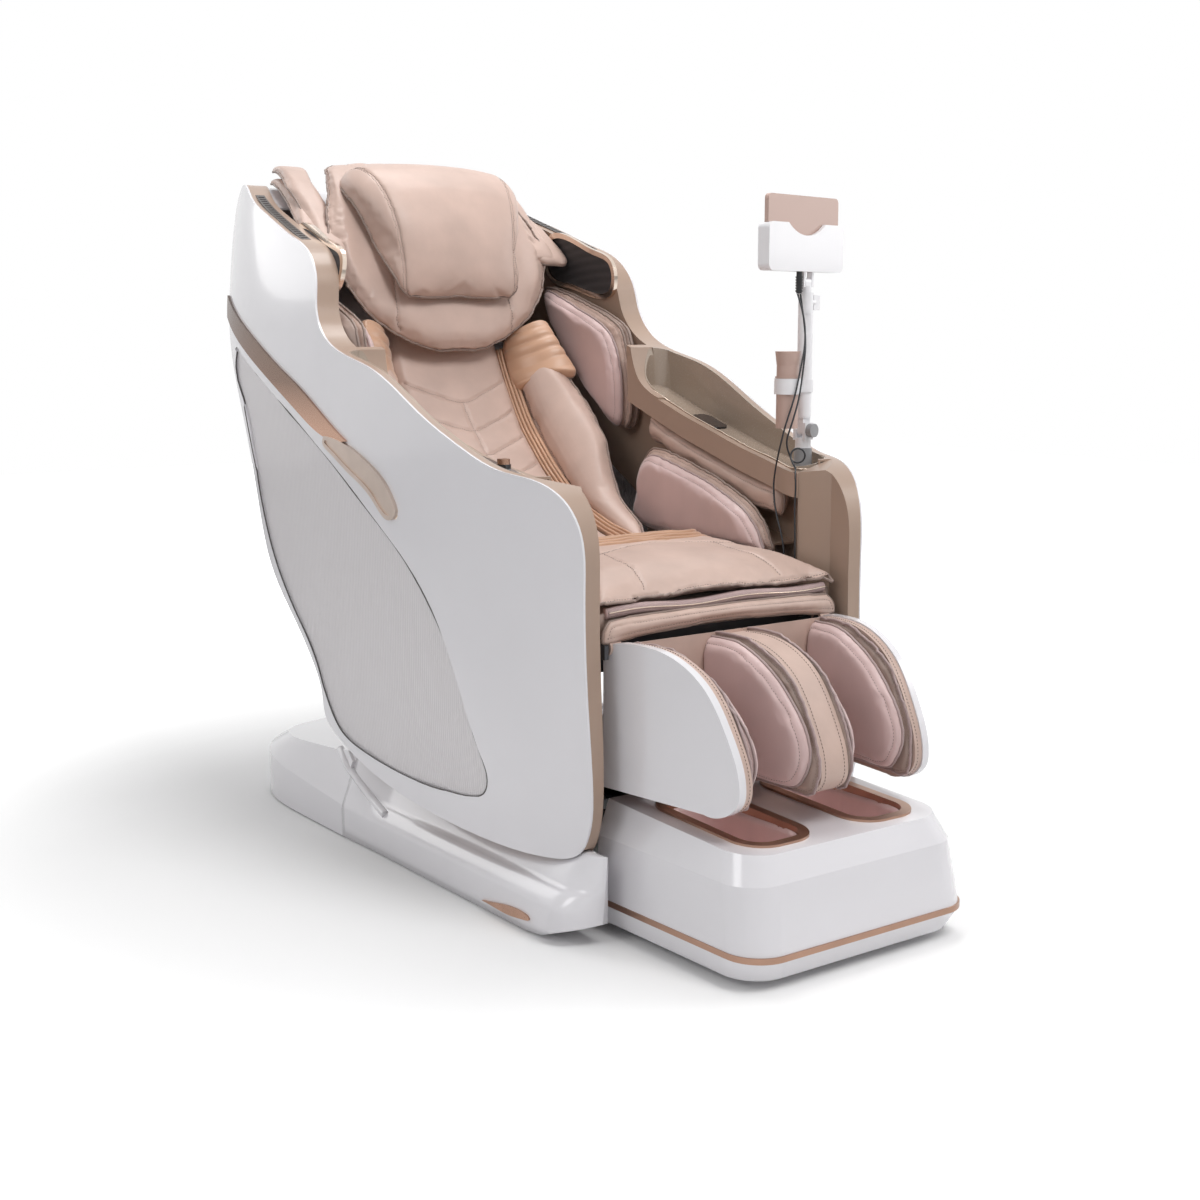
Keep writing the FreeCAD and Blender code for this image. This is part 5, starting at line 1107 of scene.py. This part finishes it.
class ChairPillow(bpy.types.Operator):
    """Makes the head pillow with its two curved seams and piped edge"""

    bl_idname = "chair.pillow"
    bl_label = "Head pillow"

    def execute(self, context):
        outline = half_outline([(0, -8), (104, -8), (142, 4), (162, 46), (184, 134), (204, 222),
                                (210, 290), (190, 336), (126, 354), (0, 358)])

        def set_back(p):
            share = min(max(p / 130, 0), 1)
            return 50 * share * share * (3 - 2 * share)

        def place(x, p, w):
            return PILLOW.place(x, p, w - set_back(p))
        pillow = pad("head_pillow_cushion", outline, place,
                     lambda x, p: set_back(p) + 10 - 9 * (x / 210) ** 2, -12, 78, 3)
        wear(swollen(pillow, 0.012), "leather")
        seams = [drawn_line([(side * 134, -2), (side * 137, 70), (side * 144, 160),
                             (side * 162, 258), (side * 184, 338)], PILLOW.place, 14)
                 for side in (1, -1)]
        lines = sewn(pillow, seams, 0.0035, 0.0032, 0.001)
        rows = [[p + Vector((side * 0.004, 0, 0)) for p in line]
                for line in lines for side in (1, -1)]
        rows = on_surface(pillow, rows, 0.0004)
        edge = on_surface(pillow, [ring_line(outline, place)], 0.001)
        work = [stitches("pillow_stitches", rows, paint("thread"), 0.005),
                piping("pillow_piping", edge, paint("pipe"), 0.003)]
        settle(pillow, "cabin", "leather_beige", "head_pillow")
        settle(one_piece("pillow_trim", *work), "cabin", "leather_beige")
        return {"FINISHED"}


def layered(name, outline, place, front, back, key, pipe, edge=16.0, cap=0.006, inset=8.0,
            voxel=None):
    """A pad with a piped edge and a stitched line inside it: (pad, trim)."""
    radius = 0.0026
    made = pad(name, outline, place, front, back, edge, 2.5)
    wear(swollen(made, cap, voxel), key)
    ring = ring_line(outline, place, front + 6, inset=inset)
    stitched = sewn(made, [ring], 0.003, 0.0015, 0.0008)
    edge_line = on_surface(made, [ring_line(outline, place)], radius * 0.3)
    trim = one_piece(name + "_trim",
                     piping(name + "_piping", edge_line, paint(pipe), radius),
                     stitches(name + "_stitches", on_surface(made, stitched, 0.0003),
                              paint("thread"), thread=0.0005))
    return made, trim


def settle_layers(title, made, body, slot, node):
    """Layered pads settled as one cushion piece and one trim piece on the same body."""
    pads, trims = zip(*made)
    settle(one_piece(title + "_cushions", *pads), body, slot, node)
    settle(one_piece(title + "_trim", *trims), body, "leather_beige")


class ChairShoulders(bpy.types.Operator):
    """Makes the shoulder air cushions: a rose face over two leather layers on each side"""

    bl_idname = "chair.shoulders"
    bl_label = "Shoulder air cushions"

    def execute(self, context):
        wide = [(372, 1108), (300, 1096), (232, 1074), (162, 1050), (108, 1022), (88, 980),
                (74, 920), (74, 860), (84, 812), (108, 800), (150, 822), (240, 888), (330, 990),
                (380, 1070)]
        face = [(350, 1098), (290, 1084), (230, 1060), (165, 1034), (122, 1006), (100, 968),
                (88, 918), (86, 868), (92, 822), (108, 806), (148, 826), (230, 888), (318, 990),
                (352, 1062)]
        made = [layered(name, outline, wall_place(side, depth), front, back, key, pipe, 22)
                for side in (1, -1) for name, outline, depth, front, back, key, pipe in (
                    ("shoulder_back", wide, 68, 10, -13, "painted shade leather", "pipe"),
                    ("shoulder_middle", wide, 84, 7, -6, "leather", "pipe"),
                    ("shoulder_face", face, 99, 17, -8, "rose", "rose pipe"))]
        settle_layers("shoulder", made, "cabin", "leather_pink", "shoulder_pads")
        return {"FINISHED"}


class ChairHips(bpy.types.Operator):
    """Makes the hip air cushions beside the seat"""

    bl_idname = "chair.hips"
    bl_label = "Hip air cushions"

    def execute(self, context):
        face = [(-12, 606), (-4, 690), (-16, 736), (-48, 758), (-100, 754), (-241, 720),
                (-360, 680), (-406, 648), (-432, 612), (-424, 594), (-220, 590)]
        wide = [(-6, 606), (6, 690), (-6, 746), (-42, 772), (-100, 768), (-241, 734),
                (-363, 693), (-414, 660), (-444, 620), (-436, 594), (-220, 588)]
        made = [layered(name, outline, wall_place(side, depth), front, back, key, pipe, 24)
                for side in (1, -1) for name, outline, depth, front, back, key, pipe in (
                    ("hip_back", wide, 115, 6, -7, "leather", "pipe"),
                    ("hip_face", face, 128, 18, -8, "rose", "rose pipe"))]
        settle_layers("hip", made, "cabin", "leather_pink", "hip_pads")
        return {"FINISHED"}


class ChairArms(bpy.types.Operator):
    """Makes the wrinkled forearm cushions that hang under the armrest ledges"""

    bl_idname = "chair.arms"
    bl_label = "Forearm cushions"

    def execute(self, context):
        top = [(y, between(SHELF_LINE, y) - 48) for y in (0, -60, -140, -220, -300, -380, -436)]
        low = [(y, between(SHELF_LINE, y) - 100 - 6 * math.sin(y / 21)) for y in
               (-436, -400, -360, -320, -280, -240, -200, -160, -120, -80, -40, 0)]
        made = []
        for side in (1, -1):
            made.append(layered("arm_cushion", top + low, wall_place(side, 80), 24, -20,
                                "leather", "pipe", 24, 0.004, 7, voxel=0.005))
            creased(made[-1][0], 0.03, 0.0022, 5, (1, 0.4, 1.4))
        settle_layers("arm", made, "cabin", "leather_beige", "arm_pads")
        return {"FINISHED"}


class ChairSeat(bpy.types.Operator):
    """Makes the seat cushion, its pleated amber strap, the zipped core and the front flap"""

    bl_idname = "chair.seat"
    bl_label = "Seat cushion"

    def height(self, x, y):
        """The middle of the seat cushion's thickness, which waves along its front edge."""
        base = between([(-606, 560), (-580, 567), (-540, 577), (-480, 585), (-420, 592),
                        (-350, 594), (-300, 590), (-250, 576), (-150, 546)], y)
        front = min(max((-500 - y) / 100, 0), 1) ** 2
        crown = 5 * math.cos(min(abs(x) / 230, 1) * math.pi / 2)
        return base + crown + front * (5 * math.sin(x / 62 + 2.2)
                                       - 5 * math.exp(-((x + 118) / 46) ** 2))

    def place(self, x, y, w):
        return Vector((x, y, self.height(x, y) + w)) * MM

    def execute(self, context):
        outline = half_outline([(0, -158), (150, -160), (196, -172), (212, -210), (214, -330),
                                (218, -430), (234, -480), (250, -540), (268, -592), (262, -606),
                                (200, -601), (100, -605), (0, -602)])
        seat = pad("seat_cushion", outline, self.place,
                   lambda x, y: 6 + 12 * min(max((y + 606) / 90, 0), 1),
                   lambda x, y: -5 - 12 * min(max((y + 600) / 70, 0), 1), 54, 2.5, flange=7)
        wear(swollen(seat, 0.010), "leather")
        seams = [drawn_line([(side * 128, -425), (side * 136, -500), (side * 152, -592)],
                            self.place, 30) for side in (1, -1)]
        arc = drawn_line([(-128, -425), (-70, -398), (0, -388), (70, -398), (128, -425)],
                         self.place, 30)
        sides = [drawn_line([(side * 128, -425), (side * 170, -440), (side * 214, -470)],
                            self.place, 30) for side in (1, -1)]
        rim = ring_line(outline, self.place, 12, inset=9)
        lines = sewn(seat, seams + [arc, rim] + sides, 0.0034, 0.0026, 0.0016)
        creased(seat, 0.06, 0.0022, 8)
        lines = on_surface(seat, lines, 0.0004)
        edge = on_surface(seat, [ring_line(outline, self.place)], 0.001)
        band = [(-205, -330), (-120, -352), (0, -358), (110, -352), (170, -330), (208, -292)]
        path = even_points(curve_points(band), 6)
        path = on_surface(seat, [[self.place(p.x, p.y, 26) for p in path]], 0.0)[0]
        up = Vector((0, -0.3, 0.95))
        strap = strap_of("seat_strap", path, [up] * len(path), 54, 5, 8.0, 3)
        work = [stitches("seat_stitches", lines, paint("thread")),
                piping("seat_piping", edge, paint("pipe")), strap]
        settle(seat, "cabin", "leather_beige", "seat_pad")
        settle(one_piece("seat_trim", *work), "cabin", "leather_beige")
        self.core()
        self.flap()
        return {"FINISHED"}

    def core(self):
        """The foam block under the cushion, closed by a zip along its front."""
        outline = half_outline([(0, 24), (190, 22), (208, 0), (210, -300), (214, -430),
                                (236, -490), (252, -560), (254, -584), (240, -592), (0, -592)])

        def place(x, y, w):
            return Vector((x, y, 529 + w)) * MM
        core = pad("seat_core", outline, place, 21, -24, 10, 18)
        wear(core, "painted shade leather")
        settle(core, "cabin", "leather_beige", "seat_pad")

        def wave(x):
            return 2.5 * math.sin(x / 38)
        section = ((-596, 557), (-600, 553), (-601, 546), (-597, 539), (-588, 539), (-588, 557))
        columns = 90
        steps = [-246 + 492 * n / columns for n in range(columns + 1)]
        tape = lofted("seat_zip", [[Vector((x, y, z + wave(x))) * MM for y, z in section]
                                   for x in steps])
        teeth = piping("zip_teeth", [[Vector((x, -601.6, 549.5 + wave(x))) * MM
                                      for x in range(-244, 245, 4)]], paint("bright"), 0.0014)
        settle(one_piece("seat_zip_tape", wear(tape, "zip"), teeth), "cabin", "leather_pink")

    def flap(self):
        """The padded apron under the front of the seat, which the leg rest presses flat on the
        real chair; here it keeps one shape.
        """
        outline = half_outline([(0, 544), (150, 543), (236, 541), (256, 532), (263, 512),
                                (258, 504), (180, 508), (0, 511)])

        def place(x, z, w):
            out = 6 * math.sin(min(max((544 - z) / 34, 0), 1) * math.pi * 0.6)
            return Vector((x, -601 - out - w, z - 3 * (1 - math.cos(x / 150)))) * MM
        flap, trim = layered("seat_apron", outline, place, 7, -5, "leather", "pipe", 14, 0.005, 8,
                             voxel=0.005)
        creased(flap, 0.05, 0.0018, 2)
        settle(flap, "cabin", "leather_beige", "seat_flap")
        settle(trim, "cabin", "leather_beige")
        for piece in (flap, trim, bpy.data.objects["seat_zip_tape"]):
            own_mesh(piece)


class ChairCalves(bpy.types.Operator):
    """Makes the calf air cushions, their leather pleats and the stitching on the leg rest"""

    bl_idname = "chair.calves"
    bl_label = "Calf air cushions"

    def execute(self, context):
        face = [(-618, 486), (-645, 499), (-716, 495), (-798, 455), (-862, 392), (-884, 340),
                (-872, 298), (-840, 272), (-740, 268), (-640, 268), (-622, 300), (-616, 400)]
        leaf = [(-608, 490), (-648, 507), (-718, 504), (-818, 459), (-869, 392), (-896, 325),
                (-890, 286), (-866, 262), (-740, 258), (-620, 260), (-606, 300), (-603, 420)]
        made = [layered(name, outline, place, front, back, key, "rose pipe", 24, 0.005)
                for side in (1, -1) for name, outline, place, front, back, key in (
                    ("calf_pleat", leaf, self.cover_place(side, 34), 4, -3, "painted shade leather"),
                    ("calf_face", face, self.cover_place(side, 48), 17, -9, "rose"),
                    ("divider_pleat", leaf, flat_place(-side, -35), 4, -3, "painted shade leather"),
                    ("divider_face", face, flat_place(-side, -46), 17, -7, "rose"))]
        rows = []
        for side in (1, -1):
            rim = [(-612, 499), (-651, 505), (-718, 503), (-820, 456), (-869, 387), (-893, 322),
                   (-890, 284), (-871, 266)]
            rows.append(drawn_line(rim, self.cover_place(side, 24), 0))
            rows.append(drawn_line(rim, flat_place(side, 21), 0))
        frame_top = on_surface(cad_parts["calf_frame"], rows, 0.0006)
        cushion, trim = made[-1]
        seams = stitches("calf_stitches", frame_top, paint("thread"))
        made[-1] = cushion, one_piece("calf_seams", trim, seams)
        settle_layers("calf", made, "legrest", "leather_pink", "calf_airbags")
        return {"FINISHED"}

    def cover_place(self, side, depth):
        """Places (y, z, w) beside the inner face of a calf cover, which narrows to the front."""
        def place(y, z, w):
            share = (-578 - y) / 310
            return Vector((side * (249 - 37 * share - depth - w), y, z)) * MM
        return place


class ChairFeet(bpy.types.Operator):
    """Lines the two foot wells with gathered rose cloth and a zip"""

    bl_idname = "chair.feet"
    bl_label = "Foot well linings"

    well_x = 117
    well_y = -768

    def execute(self, context):
        halves = [self.lining(side) for side in (1, -1)]
        lining = one_piece("foot_linings", *[half[0] for half in halves])
        settle(lining, "footbox", "well_lining", "foot_liners")
        settle(one_piece("foot_lining_zips", *[half[1] for half in halves]), "footbox",
               "bronze_trim")
        return {"FINISHED"}

    def lining(self, side):
        """A cloth pocket of even thickness, its wall gathered and its floor puckered."""
        outline = [(-57, -850), (-40, -884), (0, -893), (40, -884), (57, -850), (57, -768),
                   (57, -684), (40, -650), (0, -643), (-40, -650), (-57, -684), (-57, -768)]
        ring = even_points(curve_points(outline, True), 4, True)
        middle = Vector((0, self.well_y))
        rings = []
        for level, (share, z) in enumerate(((1.0, 207), (0.985, 196), (0.95, 176), (0.93, 150),
                                            (0.90, 128), (0.84, 112), (0.7, 103), (0.5, 100),
                                            (0.3, 99.5), (0.12, 99.5))):
            row = []
            for k, p in enumerate(ring):
                turn = k / len(ring)
                fold = 0.0
                if 0 < level < 8:
                    fold = 3.2 * noise.noise(Vector((turn * 26 * math.pi, level * 0.55, side)))
                    fold += 1.6 * math.sin(turn * 74 + level * 0.7)
                flat = middle + (p - middle) * share
                away = (p - middle).normalized()
                flat = flat - away * max(0, fold)
                row.append(Vector((side * (self.well_x + flat.x), flat.y, z + 0.5 * fold)))
            rings.append(row)
        count = len(ring)
        inside = [p * MM for row in rings for p in row]
        outside = [(p + Vector((side * 1.5 * (p.x * side - self.well_x) / 60,
                                1.5 * (p.y - self.well_y) / 120, -1.5))) * MM
                   for row in rings for p in row]
        total = len(inside)
        faces = []
        for level in range(len(rings) - 1):
            for k in range(count):
                a, b = level * count + k, level * count + (k + 1) % count
                faces.append((a, b, b + count, a + count))
                faces.append((a + total, a + count + total, b + count + total, b + total))
        for k in range(count):
            a, b = k, (k + 1) % count
            faces.append((a, a + total, b + total, b))
        last = (len(rings) - 1) * count
        faces.append(tuple(last + k for k in range(count)))
        faces.append(tuple(last + total + k for k in reversed(range(count))))
        made = wear(mesh_object("foot_lining", inside + outside, faces), "lining")
        zip_line = [Vector((side * (self.well_x + side * 30), y,
                            104 + 0.02 * abs(y - self.well_y))) * MM
                    for y in range(-856, -690, 4)]
        zip_line = on_surface(made, [zip_line], 0.0012)
        return made, piping("foot_zip", zip_line, paint("bronze"), 0.0016)


class ChairTrim(bpy.types.Operator):
    """Lays the dark border round each side panel and the bright rims of badges and trays"""

    bl_idname = "chair.trim"
    bl_label = "Panel borders"

    def execute(self, context):
        panel = [(538, 974), (453, 938), (292, 868), (162, 806), (42, 742), (-69, 676),
                 (-171, 612), (-265, 528), (-323, 445), (-364, 362), (-402, 285), (-416, 246),
                 (-406, 220), (-370, 204), (-300, 198), (-200, 196), (-109, 201), (0, 217),
                 (84, 246), (124, 296), (162, 362), (246, 448), (346, 552), (420, 704), (500, 868),
                 (548, 958)]
        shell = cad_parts["side_shells"]
        borders = []
        for side in (1, -1):
            line = on_surface(shell, [ring_line(panel, wall_place(side, 0), step=8, inset=2)])
            borders += [piping("panel_piping", line, paint("vent"), 0.0015),
                        self.badge_rim(side), self.tray_rim(side)]
        settle(one_piece("panel_borders", *borders), "cabin", "rose_gold")
        return {"FINISHED"}

    def badge_rim(self, side):
        """The raised gold rim round a badge."""
        badge = [(90, 812), (19, 803), (-72, 771), (-124, 743), (-155, 712), (-166, 686),
                 (-152, 674), (-87, 704), (3, 749), (80, 785), (99, 802)]
        line = ring_line(badge, wall_place(side, 0), step=5, inset=4)
        line = on_surface(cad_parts["badges"], [line])[0]
        outs = [Vector((side, 0, 0))] * len(line)
        return wear(pleated_band("badge_rim", line, outs, 8, 1, 2.2), "bright")

    def tray_rim(self, side):
        """The bright line along the inner edge and round the front end of a tray."""
        inner, outer = 86, 17
        middle, radius = (inner + outer) / 2, (inner - outer) / 2
        spots = [(y, inner) for y in range(30, -480, -10)]
        for turn in map(math.radians, range(0, 181, 10)):
            spots.append((-480 - radius * math.sin(turn), middle + radius * math.cos(turn)))
        line = [Vector((side * (skin_x(y, TRAY_HEIGHT) - depth), y, between(SHELF_LINE, y) + 3))
                * MM for y, depth in spots]
        return piping("tray_rim", on_surface(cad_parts["armrest_trays"], [line], 0.0006),
                      paint("bright"), 0.0013)


class ChairBase(bpy.types.Operator):
    """Makes the stepped side covers of the base, round at the front, and their diagonal ribs"""

    bl_idname = "chair.base"
    bl_label = "Base side covers"

    front = -655
    nose = 62
    seam = 143
    inner = 285

    def execute(self, context):
        covers = [wear(self.cover(side), "pearl") for side in (1, -1)]
        ribs = [self.rib(side, cover) for side, cover in zip((1, -1), covers)]
        settle(one_piece("base_side_shells", *covers), "base", "pearl_white", "base_side_covers")
        settle(one_piece("base_ribs", *ribs), "base", "pearl_white")
        return {"FINISHED"}

    def section(self, y, narrow):
        """The outline across a cover, from its foot up to the cheek, which meets the rear deck."""
        cheek = [(362, 3), (365, 30), (364, 66), (346, 88), (334, 93), (298, 152), (285, 152)]
        deck = [(365, 3), (365, 34), (365, 67), (353, 98), (341, 130), (328, 161), (300, 163)]
        share = min(max(y / 140, 0), 1)
        share = share * share * (3 - 2 * share)
        low = between([(-655, 38), (-610, 24), (-570, 9), (-520, 3)], y)
        corners = []
        for (x0, z0), (x1, z1) in zip(cheek, deck):
            x = x0 + (x1 - x0) * share
            z = z0 + (z1 - z0) * share
            corners.append(Vector((self.inner + (x - self.inner) * narrow, max(z, low))))
        outline = [corners[0]]
        for a, b, c in zip(corners, corners[1:], corners[2:]):
            reach = min(6.0, (a - b).length * 0.45, (c - b).length * 0.45)
            start = b + (a - b).normalized() * reach
            end = b + (c - b).normalized() * reach
            outline += [start, (start + 2 * b + end) / 4, end]
        outline += [corners[-1], Vector((self.inner, corners[-1].y)), Vector((self.inner, low))]
        return outline

    def cover(self, side):
        """One side cover: its front end is a quarter round, and it runs back to the deck."""
        rows = []
        for n in range(1, 13):
            turn = math.radians(90 * n / 12)
            rows.append((self.front + self.nose * (1 - math.cos(turn)), math.sin(turn)))
        first = rows[-1][0]
        rows += [(first + (self.seam - first) * n / 50, 1.0) for n in range(1, 51)]
        return lofted("base_cover", [[Vector((side * p.x, y, p.y)) * MM
                                      for p in self.section(y, narrow)] for y, narrow in rows])

    def rib(self, side, cover):
        """A rounded rib that climbs from the ledge of a cover up to the rear deck."""
        line = []
        for n in range(41):
            share = n / 40
            y = -14 + 240 * share
            z = 80 + 96 * share - 6 * math.sin(math.pi * share)
            line.append(Vector((side * 350, y, z)) * MM)
        ahead = [p for p in line if p.y <= self.seam * MM]
        behind = [p for p in line if p.y > self.seam * MM]
        spots = on_surface(cover, [ahead])[0]
        spots += on_surface(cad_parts["base_cover_rear"], [behind])[0]
        for _ in range(14):
            inner = [(a + 2 * b + c) / 4 for a, b, c in zip(spots, spots[1:], spots[2:])]
            spots = [spots[0], *inner, spots[-1]]
        out = Vector((side * 0.86, 0, 0.5)).normalized()
        return wear(pleated_band("base_rib", spots, [out] * len(spots), 17, 1, 6.5), "pearl")


class ChairStage(bpy.types.Operator):
    """Sets the pale studio floor, its soft lights and the camera"""

    bl_idname = "chair.stage"
    bl_label = "Stage"

    def execute(self, context):
        scene = context.scene
        scene.view_settings.view_transform = "Standard"
        self.floor()
        self.world(scene)
        self.lamp(scene, "Key light", (0.3, -2.7, 4.0), (0, 0, 0.7), 1.8, 78)
        self.lamp(scene, "Left light", (-3.2, -1.0, 2.8), (0, 0, 0.8), 1.6, 22)
        self.lamp(scene, "Top light", (0.5, 0.4, 4.2), (0, 0, 0.6), 2.2, 66)
        self.lamp(scene, "Right light", (3.4, -1.8, 2.2), (0, 0, 0.6), 2.0, 30)
        self.lamp(scene, "Rear light", (-1.5, 3.4, 2.6), (0, 0.2, 0.8), 2.4, 24)
        camera = bpy.data.objects.new("Camera", bpy.data.cameras.new("Camera"))
        scene.collection.objects.link(camera)
        camera.data.lens = CAMERA_LENS
        camera.data.sensor_width = SENSOR_WIDTH
        camera.location = CAMERA_PLACE
        turn, dip = math.radians(CAMERA_TURN), math.radians(CAMERA_DIP)
        aim = Vector((math.sin(turn) * math.cos(dip), math.cos(turn) * math.cos(dip),
                      -math.sin(dip)))
        camera.rotation_euler = aim.to_track_quat("-Z", "Y").to_euler()
        scene.camera = camera
        return {"FINISHED"}

    def floor(self):
        """A pale floor with a painted glow, seen only by the camera, that brightens it to white
        away from the chair and leaves it unlit near the chair, so that it keeps its shadow.
        """
        verts = [(-9, -9, 0), (9, -9, 0), (9, 9, 0), (-9, 9, 0)]
        ground = mesh_object("Floor", verts, [(0, 1, 2, 3)])
        made, shader, spot = finish("Studio floor", (0.9, 0.9, 0.9), 0.9)
        nodes, links = made.node_tree.nodes, made.node_tree.links
        tone(made, shader, noise_of(made, spot, 1.5), (0.89, 0.89, 0.89), (0.91, 0.91, 0.91))
        shader.inputs["Specular IOR Level"].default_value = 0.1
        out = nodes["Material Output"]
        # painted glow: an emission that grows with distance from the chair, added for camera rays
        # only
        glow = nodes.new("ShaderNodeEmission")
        reach = nodes.new("ShaderNodeVectorMath")
        reach.operation = "LENGTH"
        painted_glow_by_distance = nodes.new("ShaderNodeMapRange")
        painted_glow_by_distance.interpolation_type = "SMOOTHSTEP"
        for key, value in (("From Min", 0.8), ("From Max", 2.4), ("To Min", 0.0), ("To Max", 1.0)):
            painted_glow_by_distance.inputs[key].default_value = value
        links.new(spot, reach.inputs[0])
        links.new(reach.outputs["Value"], painted_glow_by_distance.inputs["Value"])
        links.new(painted_glow_by_distance.outputs["Result"], glow.inputs["Strength"])
        add = nodes.new("ShaderNodeAddShader")
        path = nodes.new("ShaderNodeLightPath")
        gate = nodes.new("ShaderNodeMixShader")
        links.new(shader.outputs["BSDF"], add.inputs[0])
        links.new(glow.outputs["Emission"], add.inputs[1])
        links.new(path.outputs["Is Camera Ray"], gate.inputs["Fac"])
        links.new(shader.outputs["BSDF"], gate.inputs[1])
        links.new(add.outputs["Shader"], gate.inputs[2])
        links.new(gate.outputs["Shader"], out.inputs["Surface"])
        ground.data.materials.append(made)

    def world(self, scene):
        """A white background that lights the chair far more softly than it shows."""
        sky = bpy.data.worlds.new("Studio")
        scene.world = sky
        sky.use_nodes = True
        nodes, links = sky.node_tree.nodes, sky.node_tree.links
        back = nodes["Background"]
        back.inputs["Color"].default_value = (1, 1, 1, 1)
        path = nodes.new("ShaderNodeLightPath")
        seen = nodes.new("ShaderNodeMath")
        seen.operation = "MAXIMUM"
        clear = nodes.new("ShaderNodeMath")
        clear.operation = "MAXIMUM"
        level = nodes.new("ShaderNodeMapRange")
        level.inputs["To Min"].default_value = 0.33
        level.inputs["To Max"].default_value = 1.0
        links.new(path.outputs["Is Camera Ray"], seen.inputs[0])
        links.new(path.outputs["Is Glossy Ray"], seen.inputs[1])
        links.new(seen.outputs[0], clear.inputs[0])
        links.new(path.outputs["Is Transmission Ray"], clear.inputs[1])
        links.new(clear.outputs[0], level.inputs["Value"])
        links.new(level.outputs["Result"], back.inputs["Strength"])

    def lamp(self, scene, name, place, aim, size, power):
        """A round soft light at a place, turned to an aim."""
        data = bpy.data.lights.new(name, "AREA")
        data.shape = "DISK"
        data.size = size
        data.energy = power
        lamp = bpy.data.objects.new(name, data)
        lamp.location = place
        lamp.rotation_euler = (Vector(aim) - Vector(place)).to_track_quat("-Z", "Y").to_euler()
        scene.collection.objects.link(lamp)


class ChairPanel(bpy.types.Panel):
    """Lists the steps that dress the chair"""

    bl_idname = "CHAIR_PT_steps"
    bl_label = "Massage chair"
    bl_space_type = "VIEW_3D"
    bl_region_type = "UI"
    bl_category = "Chair"

    def draw(self, context):
        column = self.layout.column(align=True)
        for step in STEPS:
            column.operator(step.bl_idname)
        sizes = self.layout.column()
        for group in (sewing(), colours()):
            for name in group.__annotations__:
                sizes.prop(group, name)


STEPS = (ChairStage, ChairCables, ChairFinishes, ChairBack, ChairNeck, ChairPillow,
         ChairShoulders, ChairHips, ChairArms, ChairSeat, ChairCalves, ChairFeet, ChairTrim,
         ChairBase)
CLASSES = (ChairColours, ChairSewing, *STEPS, ChairPanel)


def register():
    for item in CLASSES:
        bpy.utils.register_class(item)
    bpy.types.Scene.chair_colours = PointerProperty(type=ChairColours)
    bpy.types.Scene.chair_sewing = PointerProperty(type=ChairSewing)


def unregister():
    del bpy.types.Scene.chair_sewing
    del bpy.types.Scene.chair_colours
    for item in reversed(CLASSES):
        bpy.utils.unregister_class(item)


def main():
    register()
    for step in STEPS:
        group, name = step.bl_idname.split(".")
        getattr(getattr(bpy.ops, group), name)()


if __name__ == "__main__":
    main()
